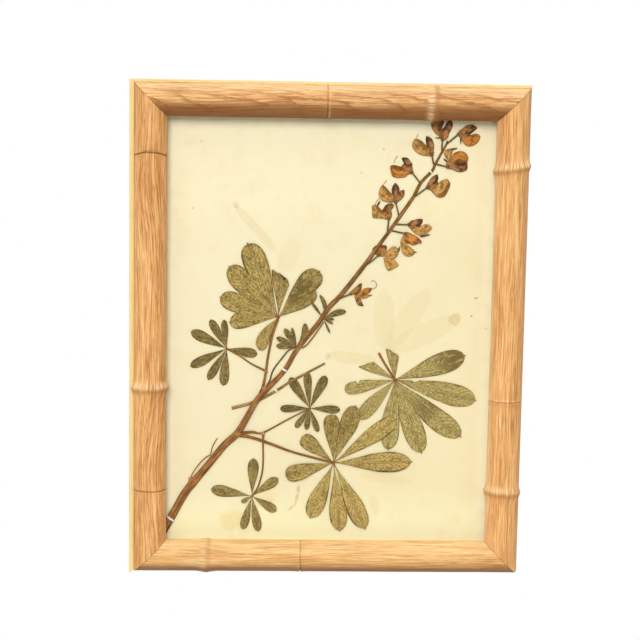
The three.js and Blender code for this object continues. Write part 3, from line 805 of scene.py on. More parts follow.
def makeSheetMark():
    inputs = {"Vector": "Place Middle", "Float": "Turn Length Width Softness Strength"}
    group, given, out = newGroup("sheetMark", inputs, {"Float": "Amount"})
    away = vectorNode("SUBTRACT", given["Place"], given["Middle"])
    back = times(given["Turn"], -1.0)
    turned = joinNode("VectorRotate", {"Vector": away, "Angle": back}, rotation_type="Z_AXIS")[0]
    along, across, _ = axes(turned)
    share = mathNode("DIVIDE", along, times(given["Length"], 0.5))
    aside = mathNode("DIVIDE", across, times(given["Width"], 0.5))
    lengthwise = mathNode("POWER", mathNode("ABSOLUTE", share), 2.4)  # blunter than an ellipse
    distance = plus(lengthwise, times(aside, aside))
    amount = fade(distance, minus(1.0, given["Softness"]), 1.0, 1.0, 0.0)
    feed(times(amount, given["Strength"]), out["Amount"])
    return group


def sheetMaterial():
    material, tree, shader = newMaterial("agedPaper", 0.92, 0.15)
    place = carried(tree, "place")
    shakes = joinNode("TexNoise", {"Vector": place, "Scale": 0.35, "Detail": 3.0})["Color"]
    centred = vectorNode("SUBTRACT", shakes, (0.5, 0.5, 0.5))
    shaken = vectorNode("MULTIPLY", centred, (sheetSet["shake"], sheetSet["shake"], 0.0))
    flat = vectorNode("MULTIPLY", vectorNode("ADD", shaken, place), (1, 1, 0))
    x, y, _ = axes(place)
    slope = minus(times(x, 0.7), times(y, 0.6))
    color = mixColor(fade(slope, *sheetFades["slope"]), sheetSet["fresh"], sheetSet["cream"])
    # Painted light: the sheet brighter towards the bottom
    color = mixColor(fade(y, *sheetFades["low"]), color, sheetSet["low"])
    # Painted shade: the middle of the sheet a little darker than its top and bottom
    fromHeart = mathNode("ABSOLUTE", minus(y, sheetFades["heartMiddle"]))
    color = mixColor(fade(fromHeart, *sheetFades["heart"]), color, sheetSet["heart"], "MULTIPLY")
    # Painted light along the left, right and top rails, paler where their shade falls on the sheet
    paintedRailLight = mathNode("MAXIMUM", fade(x, *sheetFades["right"]), fade(x, *sheetFades["left"]))
    paintedRailLight = mathNode("MAXIMUM", paintedRailLight, fade(y, *sheetFades["top"]))
    color = mixColor(paintedRailLight, color, sheetSet["edge"])
    color = tinted(color, sheetSet["fresh"], cloud(place, 0.018, 2.0, 0.3, 0.7), 0.35)
    color = tinted(color, sheetSet["tan"], cloud(place, 0.09, 3.0, 0.45, 0.8), 0.34)
    color = tinted(color, sheetSet["tan"], cloud(place, 0.55, 2.0, 0.4, 0.75), 0.12)
    mark = makeSheetMark()
    uneven = fade(shakes, 0.25, 0.7, 0.55, 1.1)
    for markX, markY, turn, length, width, softness, strength, tint in sheetMarks:
        inputs = {"Place": flat, "Middle": (markX, markY, 0.0), "Turn": math.radians(turn),
                  "Length": length, "Width": width, "Softness": softness, "Strength": strength}
        color = tinted(color, tint, useGroup(mark, inputs)["Amount"], uneven)
    paint(shader, color, cloud(place, 0.45, 1.0, 0.2, 0.8), 0.00005, 0.6)
    return material


def makeSheet():
    low, high = paperLow / mm, paperHigh / mm
    xs = np.linspace(low.x, high.x, sheetSet["columns"])
    ys = np.linspace(low.z - middleZ / mm, high.z - middleZ / mm, sheetSet["rows"])
    runX, runY = sheetSet["cockleRun"]
    rings = []
    for y in ys:
        dips = [sheetSet["cockle"] * (0.5 + 0.5 * ripple(x * runX, y * runY)) for x in xs]
        front = [(x, y, paperFront - dip) for x, dip in zip(xs, dips)]
        rings.append(front + [(x, y, -high.y) for x in xs[::-1]])
    rings = np.array(rings)
    makePiece("mount_sheet", [tubePart(rings, rings)], [sheetMaterial()], "mount_paper")


makeSheet()
print("sheet laid with", len(sheetMarks), "marks")


# Pressed leaves

leafPoint = {"start": 0.98, "width": 0.05}


# Foot and tip say how fast the blade widens and how round it ends
def leafForm(foot, tip):
    widest = foot / (foot + tip)
    most = widest ** foot * (1 - widest) ** tip

    def form(t):
        grown = min(t / leafPoint["start"], 1.0)
        return max(grown ** foot * (1 - grown) ** tip / most, leafPoint["width"])

    return form


leafLook = {"rows": 46, "cols": 15, "wavy": 0.06, "cup": 0.10, "rib": 0.16, "buckle": 0.18, "thick": 0.13}
leafLay = {
    "press": 0.28, "start": 0.1, "layer": 0.045, "hubLift": 0.3, "hubHeight": 0.35, "hubShare": 0.8,
    "leastHub": 0.8, "stalkSwell": 1.1, "stalkFlatness": 0.6, "ribs": 3, "ribDepth": 0.05, "seedStep": 3.1,
}
leafTones = {
    "mottled": {"Base": (0.455, 0.313, 0.080, 1), "Patch": (0.63, 0.48, 0.155, 1),
                "Dark": (0.130, 0.087, 0.023, 1), "Mottle": 0.85, "Blotch": 0.7, "Edge": 1.3},
    "smooth": {"Base": (0.475, 0.376, 0.104, 1), "Patch": (0.63, 0.52, 0.195, 1),
               "Dark": (0.150, 0.105, 0.032, 1), "Mottle": 0.75, "Blotch": 0.55, "Edge": 0.8},
    "deep": {"Base": (0.165, 0.112, 0.029, 1), "Patch": (0.42, 0.315, 0.098, 1),
             "Dark": (0.050, 0.035, 0.011, 1), "Mottle": 0.7, "Blotch": 0.65, "Edge": 0.75},
    "olive": {"Base": (0.275, 0.188, 0.050, 1), "Patch": (0.56, 0.425, 0.140, 1),
              "Dark": (0.070, 0.048, 0.015, 1), "Mottle": 0.8, "Blotch": 0.6, "Edge": 0.75},
}
leafTints = {"straw": (0.76, 0.54, 0.175, 1), "brown": (0.50, 0.235, 0.055, 1),
             "foot": (0.36, 0.15, 0.035, 1)}
# Each leaf: hub, lift over the sheet, leaflets as turn, reach, width, bend and share left, then what single
# leaflets have otherwise (feet, tips, stains as middle, spread and strength, nicks as place, side and depth),
# and the stalk as x, y, lift and share of its width
leafSets = {
    "leaf_upper_left": {
        "hub": (-32.5, 9.0), "lift": 0.65, "tone": "mottled", "form": (1.35, 0.45), "stalkWidth": 1.4,
        "feet": {3: 1.5, 5: 1.6, 7: 1.65},
        "leaflets": [(187, 31.5, 10.4, -1), (161.5, 39.5, 12.6), (134.5, 45.5, 13.8, 0.5), (113, 51.5, 15.4),
                     (241, 24.5, 8.2, -1.5), (86, 40, 13.2, 0, 0.66), (35, 29.5, 9.6), (49, 40, 13.6, 1)],
        "stains": {5: (0.66, 0.10, 0.6), 6: (0.70, 0.35, 0.5), 7: (0.55, 0.30, 0.85)},
        "stalk": [(-32.5, 8, 0.6), (-35.8, -2, 0.4), (-37.8, -11.5, 0.3), (-39, -19, 0.3), (-40, -27, 0.3),
                  (-41.6, -36, 0.5, 1.2), (-43.4, -40.5, 0.8, 1.4)]},
    "leaf_left": {
        "hub": (-65.0, -11.5), "lift": 0.0, "tone": "deep", "form": (1.35, 0.5), "stalkWidth": 1.0,
        "leaflets": [(154.5, 25.5, 7), (120, 21.5, 5.6), (96, 18.8, 4.5), (350, 20, 6.2), (207, 26.2, 6.2),
                     (240, 23.6, 5.4), (265.5, 24.2, 6.2)],
        "stalk": [(-64.5, -11.7, 0), (-56, -16.5, 0), (-49, -21.2, 0), (-40.6, -25.3, 0.2, 1.3)]},
    "leaf_tuft": {
        "hub": (-20.5, -9.5), "lift": 1.5, "tone": "deep", "form": (1.2, 0.5), "stalkWidth": 0.9,
        "stalkTone": "flowerStalk",
        "leaflets": [(157, 14.2, 3.6), (125, 13.9, 4), (105, 12.5, 2.2), (70, 16, 4.4, -2), (179, 13.2, 3.8),
                     (57, 9.8, 1.4)],
        "stalk": [(-20.5, -9.5, 1.4), (-25.4, -12, 1.2), (-29.6, -17.2, 0.6), (-35.2, -25, 0.1),
                  (-37.3, -31.7, 0.3), (-40.5, -37.5, 0.8, 1.3)]},
    "leaf_axil": {
        "hub": (-3.5, 8.5), "lift": 1.5, "tone": "deep", "form": (1.2, 0.55), "stalkWidth": 0.0,
        "leaflets": [(19, 15.2, 4, 1), (100, 15.7, 3, -2), (127, 14.5, 1.9), (294, 10.3, 1.5), (332, 7, 1.7),
                     (358, 6.8, 1.6)],
        "stalk": []},
    "leaf_centre": {
        "hub": (-11.5, -49.5), "lift": 1.05, "tone": "deep", "form": (1.25, 0.42), "stalkWidth": 0.9,
        "leaflets": [(123.5, 23.8, 6.2), (95, 24, 5.2), (64.5, 23.6, 6.2), (181.5, 19.2, 4.9),
                     (357.5, 19.8, 5.1), (235, 15.8, 4), (262, 14.3, 3.6), (290, 16.4, 4)],
        "stalk": [(-12, -49.8, 1), (-26.3, -57.5, 0.6), (-41.4, -65.8, 0.3, 1.2), (-48, -65.4, 0.3, 1.8),
                  (-56.5, -66.3, 0.4, 2.1)]},
    "leaf_lower_right": {
        "hub": (4.5, -85.0), "lift": 1.0, "tone": "mottled", "form": (1.45, 0.45), "stalkWidth": 1.4,
        "leaflets": [(141.5, 27, 9.8), (94, 32, 10.4), (70, 40, 12), (36, 49.5, 11.5), (1, 51, 13.4),
                     (296, 49, 12.2), (276, 46, 11.6), (248, 40, 12), (196, 32.5, 11)],
        "tips": {0: 0.34, 1: 0.34, 4: 0.6, 5: 0.6, 6: 0.6, 7: 0.6, 8: 0.38}, "feet": {5: 1.8, 6: 1.9, 7: 1.7},
        "stains": {1: (0.7, 0.5, 0.35), 2: (0.8, 0.4, 0.35), 3: (0.5, 0.9, -0.6), 4: (0.5, 0.9, -0.7),
                   5: (0.5, 0.9, -1.0), 6: (0.5, 0.9, -1.0), 7: (0.5, 0.9, -0.9)},
        "stalk": [(4, -85, 0.6), (-12, -81, 0.3), (-24.5, -77.5, 0), (-36.5, -73, 0, 1.2),
                  (-49, -68.9, 0, 1.3), (-57.5, -67.6, 0.2, 1.5)]},
    "leaf_right": {
        "hub": (43.0, -30.5), "lift": 0.0, "tone": "smooth", "form": (1.25, 0.5), "stalkWidth": 1.4,
        "leaflets": [(152, 34, 8, 0, 0.62), (96, 29, 8.5, 0, 0.62), (20, 48, 14), (346, 54.5, 14.5),
                     (319.6, 57.5, 14, -1.5), (291, 51.5, 13.5), (265.5, 46.5, 12.2), (228.5, 35, 9.5),
                     (192, 33.4, 8.5)],
        "tips": {8: 0.36}, "nicks": {8: (0.71, -1, 0.6), 3: (0.235, 1, 0.55)},
        "stains": {2: (0.95, 0.34, 0.85), 4: (0.45, 0.14, 0.6)},
        "stalk": [(42.5, -30, 0), (36.1, -20.2, 0), (32.1, -13.2, 0)]},
    "leaf_lower_left": {
        "hub": (-48.0, -107.5), "lift": 0.3, "tone": "olive", "form": (1.5, 0.5), "stalkWidth": 1.0,
        "leaflets": [(170.5, 27, 7.5), (88, 25, 7.1), (35, 20.8, 6.4), (328.5, 19, 6), (281, 24, 5.9),
                     (255.5, 23, 5.4), (213, 8, 3.2)],
        "stalk": [(-47.5, -107.2, 0.3), (-44.2, -101.5, 0.3), (-42.2, -95, 0.3), (-41.2, -89, 0.4),
                  (-41, -81.5, 0.8), (-41.2, -75, 1.25), (-41.2, -66.8, 1.0, 1.5)]},
}


# Veins that fan out from the foot of a blade or a petal
def fanned(across, along, seed):
    return vectorOf(times(along, 3.0), times(across, 4.0), seed)


def makeLeafTone():
    inputs = {"Vector": "Spot Place", "Color": "Base Patch Dark", "Float": "Stain Mottle Blotch Edge"}
    group, given, out = newGroup("leafTone", inputs, {"Color": "Color", "Float": "Height"})
    patch, dark, mottle, blotch = (given[label] for label in ("Patch", "Dark", "Mottle", "Blotch"))
    across, along, seed = axes(given["Spot"])
    aside = mathNode("ABSOLUTE", across)
    drawn = vectorNode("MULTIPLY", given["Place"], (0.55, 1.0, 1.0))
    moved = vectorNode("ADD", drawn, (31.0, 17.0, 5.0))
    fan = fanned(across, along, seed)
    gathered = fade(along, 0.25, 0.95, 1.0, 0.25)

    def veins(fineness, low, high):
        return times(streaksOn(fan, 0.45, fineness, 3.0, low, high), gathered)

    color = tinted(given["Base"], patch, cloud(drawn, 0.16, 3.0, 0.35, 0.70), mottle)
    color = tinted(color, patch, cloud(moved, 0.50, 4.0, 0.46, 0.66), mottle)
    faded = times(given["Stain"], -1.0, True)  # a stain below nothing is a faded blade
    color = tinted(color, leafTints["straw"], faded, 0.9)
    color = tinted(color, patch, veins(1.1, 0.48, 0.62), 0.75)
    color = tinted(color, dark, cloud(moved, 0.20, 4.0, 0.50, 0.70), blotch)
    color = tinted(color, dark, veins(1.9, 0.50, 0.62), 0.7)
    grit = times(times(cloud(drawn, 0.85, 4.0, 0.48, 0.58), blotch), minus(1.0, times(faded, 0.35)))
    color = mixColor(grit, color, dark)
    color = tinted(color, leafTints["brown"], cloud(moved, 0.38, 3.0, 0.46, 0.66), 0.30)
    color = tinted(color, dark, cloud(drawn, 1.7, 2.0, 0.50, 0.57), 0.45)
    color = tinted(color, patch, cloud(moved, 1.25, 2.0, 0.53, 0.60), 0.75)
    # Side veins leave the midrib forwards
    vein = fade(mathNode("SINE", minus(times(along, 95.0), times(aside, 16.0))), 0.45, 1.0)
    color = tinted(color, dark, vein, 0.38)
    color = tinted(color, dark, fade(aside, 0.10, 0.22, 1.0, 0.0), 0.35)
    color = tinted(color, patch, fade(aside, 0.0, 0.12, 1.0, 0.0), fade(along, 0.2, 1.0, 0.7, 0.1))
    soiled = times(given["Stain"], cloud(moved, 0.45, 4.0, 0.30, 0.55), True)
    color = mixColor(soiled, color, dark)
    # Rim and tip have dried dark in places
    dried = plus(times(cloud(moved, 0.20, 2.0, 0.40, 0.60), 0.75), 0.25)
    rim = times(fade(aside, 0.79, 0.97), given["Edge"])
    for edge in (rim, fade(along, 0.93, 1.0, 0.0, 0.6)):
        color = tinted(color, dark, edge, dried)
    color = mixColor(fade(along, 0.02, 0.11, 0.75, 0.0), color, leafTints["foot"])
    feed(color, out["Color"])
    feed(minus(times(vein, 0.7), times(grit, 0.6)), out["Height"])
    return group


# Stalks share one brown; the tones only shift from piece to piece, or turn between two heights
stalkTones = {
    "stem": {"dark": (0.125, 0.041, 0.013, 1), "mid": (0.285, 0.102, 0.031, 1),
             "pale": (0.49, 0.252, 0.070, 1), "upper": (0.198, 0.093, 0.015, 1),
             "deep": (0.058, 0.026, 0.007, 1), "turn": (-60.0, 50.0)},
    "twig": {"dark": (0.110, 0.060, 0.016, 1), "mid": (0.42, 0.235, 0.078, 1), "pale": (0.54, 0.35, 0.125, 1),
             "upper": (0.24, 0.150, 0.042, 1), "deep": (0.110, 0.060, 0.016, 1), "turn": (-47.0, -38.0)},
    "leafStalk": {"dark": (0.115, 0.046, 0.008, 1), "mid": (0.28, 0.121, 0.020, 1),
                  "pale": (0.45, 0.225, 0.052, 1)},
    "scar": {"dark": (0.18, 0.072, 0.018, 1), "mid": (0.44, 0.20, 0.055, 1), "pale": (0.68, 0.40, 0.15, 1)},
    "flowerStalk": {"dark": (0.055, 0.034, 0.010, 1), "mid": (0.140, 0.086, 0.026, 1),
                    "pale": (0.28, 0.175, 0.055, 1)},
}


def stalkMaterial(name, tone):
    material, tree, shader = newMaterial(name + "Brown", 0.7, 0.12)
    spot, place = carried(tree, "spot"), carried(tree, "place")
    rows = streaksOn(spot, 0.06, 3.6, 2.0, 0.38, 0.55)
    aged, lines = tone["mid"], tone["dark"]
    if "turn" in tone:
        turned = fade(axes(place)[1], *tone["turn"])
        aged = mixColor(turned, aged, tone["upper"])
        lines = mixColor(turned, lines, tone["deep"])
    color = mixColor(rows, lines, aged)
    color = tinted(color, tone["pale"], times(cloud(place, 0.25, 4.0, 0.4, 0.7), rows), 0.8)
    color = tinted(color, tone["pale"], streaksOn(spot, 0.09, 5.0, 1.0, 0.52, 0.61), 0.75)
    edge = mathNode("ABSOLUTE", axes(spot)[1])
    color = mixColor(fade(edge, 0.66, 1.0, 0.0, 0.75), color, tone["dark"])
    paint(shader, color, rows, 0.00012, 0.8)
    return material


# A leaf or a petal, by the group that works out its tone
def driedMaterial(name, group, tone, roughness, gleam, relief):
    material, tree, shader = newMaterial(name, roughness, gleam)
    inputs = {"Spot": carried(tree, "spot"), "Place": carried(tree, "place"),
              "Stain": carried(tree, "stain", "Fac")}
    given = useGroup(group, {**inputs, **tone})
    paint(shader, given["Color"], given["Height"], relief, 0.8)
    return material


leafTone = makeLeafTone()
leafMaterials = {name: driedMaterial(name + "Leaf", leafTone, tone, roughness=0.72, gleam=0.15,
                                     relief=0.00010)
                 for name, tone in leafTones.items()}
stalkMaterials = {name: stalkMaterial(name, tone) for name, tone in stalkTones.items()}


def makeLeaf(name, leaf):
    lay = leafLay
    depth = plantFloor + leaf["lift"] * lay["press"]
    x, y = leaf["hub"]
    parts = []
    for k, leaflet in enumerate(leaf["leaflets"]):
        foot, tip, stain, nick = (leaf.get(label, {}).get(k) for label in ("feet", "tips", "stains", "nicks"))
        form = leafForm(foot or leaf["form"][0], tip or leaf["form"][1])
        height = depth + lay["start"] + lay["layer"] * k
        parts.append(bladePart(leaf["hub"], leaflet, form, height, leafLook, 0, lay["seedStep"] * k + x,
                               stain, nick))
    hub = max(leaf["stalkWidth"], lay["leastHub"]) * lay["hubShare"]
    parts.append(domePart(x, y, depth + lay["hubLift"], hub, lay["hubHeight"], 1))
    route = []
    for px, py, lift, *share in leaf["stalk"]:
        width = leaf["stalkWidth"] * lay["stalkSwell"] * (share[0] if share else 1.0)
        route.append((px, py, plantFloor + lift * lay["press"], width, width * lay["stalkFlatness"]))
    if route:
        parts.append(stalkPart(route, 12, 1.0, lay["ribs"], lay["ribDepth"], shade=1, seed=x))
    materials = [leafMaterials[leaf["tone"]], stalkMaterials[leaf.get("stalkTone", "leafStalk")]]
    makePiece(name + "_pressed", parts, materials, name, sharpAngle=50)


for leafName, leafSet in leafSets.items():
    makeLeaf(leafName, leafSet)
print("leaves pressed")


# Main stem with its tendril, and the bare twig

# Rows of x, y, width and lift over the sheet
stemSet = {
    "route": [(-104.9, -131.2, 4.6, 0), (-100.3, -122.4, 5, 0), (-91.7, -106.6, 4.9, 0), (-85.3, -98, 4.9, 0),
              (-77.2, -88.1, 4.6, 0), (-66.1, -74.1, 4.5, 0), (-57, -64.9, 4.2, 0.35), (-46.1, -45.2, 3.5, 1),
              (-39.7, -37.8, 3.4, 0.6), (-28, -25, 3.1, 0), (-21.5, -13.5, 3.1, 0), (-14.7, -4.2, 3, 0),
              (-7.2, 5.2, 3, 0), (0, 16, 3.1, 0), (6.5, 23, 2.9, 0), (15.5, 34.5, 2.8, 0), (24, 46, 2.7, 0),
              (29.5, 54, 2.4, 0), (37.2, 64.9, 2.3, 0), (42.7, 72.9, 2.3, 0), (51.9, 86.7, 2.2, 0),
              (56.5, 95.7, 2, 0), (63.3, 103.2, 1.8, 0), (65.2, 107.3, 1.7, 0), (69.2, 114.8, 1.4, 0),
              (72, 120, 1.2, 0), (72.5, 122.5, 0.8, 0)],
    "flatness": 0.35, "leastThick": 0.5, "ribs": 7, "ribDepth": 0.035,
    "tendril": [(-84.5, -98), (-87, -95.5), (-85.5, -91.5), (-81.5, -86), (-77.5, -82), (-75, -80.5),
                (-74, -76.5), (-72.5, -73), (-70.5, -69.5)],
    "strand": [(-3.5, 6.5), (-8, -0.5), (-13.6, -8), (-17.2, -10.6)],
    "tendrilWidth": 0.6, "strandWidth": 0.85, "thinLift": 0.2,
    "scars": [(-69.4, -79.3, 1.3), (-87.4, -96.8, 1.7), (-57.4, -66.6, 1.9), (-40.8, -36.8, 1.6),
              (-39.8, -26.0, 1.2), (-41.3, -66.2, 1.3)],
    "scarHeight": 1.9,
}
twigSet = {
    "route": [(-61.5, -50, 2.2), (-46, -45.4, 2), (-33.3, -38.5, 1.7), (-24.9, -32.9, 1.6),
              (-13.3, -26.4, 1.5), (-2.3, -20.4, 1.3)],
    "thickness": 0.7, "ribs": 5, "ribDepth": 0.04,
}


def makeStem():
    s = stemSet
    route = [(x, y, plantFloor + lift, width, max(width * s["flatness"], s["leastThick"]))
             for x, y, width, lift in s["route"]]
    parts = [stalkPart(route, 28, 0.9, s["ribs"], s["ribDepth"], seed=2.0)]
    for label in ("tendril", "strand"):
        thin = s[label + "Width"]
        route = [(x, y, plantFloor + s["thinLift"], thin, thin) for x, y in s[label]]
        parts.append(stalkPart(route, 8, 0.8, shade=1, seed=7.0))
    high = s["scarHeight"] / 2
    for x, y, radius in s["scars"]:
        parts.append(domePart(x, y, plantFloor + high, radius, high, 2))
    materials = [stalkMaterials[label] for label in ("stem", "leafStalk", "scar")]
    makePiece("stem_dried", parts, materials, "stem", sharpAngle=60)


def makeTwig():
    s = twigSet
    route = [(x, y, plantFloor, width, s["thickness"]) for x, y, width in s["route"]]
    part = stalkPart(route, 16, 0.8, s["ribs"], s["ribDepth"], seed=11.0)
    makePiece("twig_dried", [part], [stalkMaterials["twig"]], "twig", sharpAngle=60)


makeStem()
makeTwig()
print("stem and twig laid")


# Withered flowers

petalLook = {
    "rows": 26, "cols": 15, "cup": 0.42, "mostCup": 1.3, "buckle": 0.3, "buckleRun": 0.3, "crease": 0.10,
    "creases": 9, "thick": 0.1,
}
flatLook = {**petalLook, "cup": 0.05, "buckle": 0.1}
sepalLook = {"rows": 12, "cols": 7, "wavy": 0.1, "cup": 0.3, "rib": 0.0, "buckle": 0.1, "thick": 0.12}
flowerLay = {
    "lift": 0.2, "firstPetal": 0.2, "nextPetal": 0.16, "cupReach": 7.5, "cupWidth": 6.5, "cupLift": 0.08,
    "sepalLift": 0.3, "hairLift": 0.2, "hairWidth": 0.28, "hairThick": 0.2, "baseLift": 0.4,
    "baseRadius": 1.2, "baseHeight": 0.6, "stalkWidth": 1.0, "stalkThick": 0.7, "stalkRise": 0.2,
    "seedStep": 2.7,
}
petalTones = {
    "gold": {"Base": (0.49, 0.166, 0.022, 1), "Vein": (0.78, 0.345, 0.066, 1),
             "Dark": (0.16, 0.048, 0.009, 1), "Rim": (0.31, 0.125, 0.026, 1), "Tip": 0.25},
    "bronze": {"Base": (0.36, 0.145, 0.033, 1), "Vein": (0.60, 0.29, 0.076, 1),
               "Dark": (0.070, 0.027, 0.010, 1), "Rim": (0.22, 0.104, 0.034, 1), "Tip": 0.55},
    "tan": {"Base": (0.45, 0.205, 0.043, 1), "Vein": (0.80, 0.48, 0.145, 1), "Dark": (0.18, 0.070, 0.015, 1),
            "Rim": (0.46, 0.28, 0.100, 1), "Tip": 0.22},
    "dusk": {"Base": (0.37, 0.157, 0.056, 1), "Vein": (0.58, 0.285, 0.105, 1),
             "Dark": (0.034, 0.014, 0.009, 1), "Rim": (0.12, 0.054, 0.024, 1), "Tip": 0.75},
}
petalFoot = (0.40, 0.205, 0.080, 1)
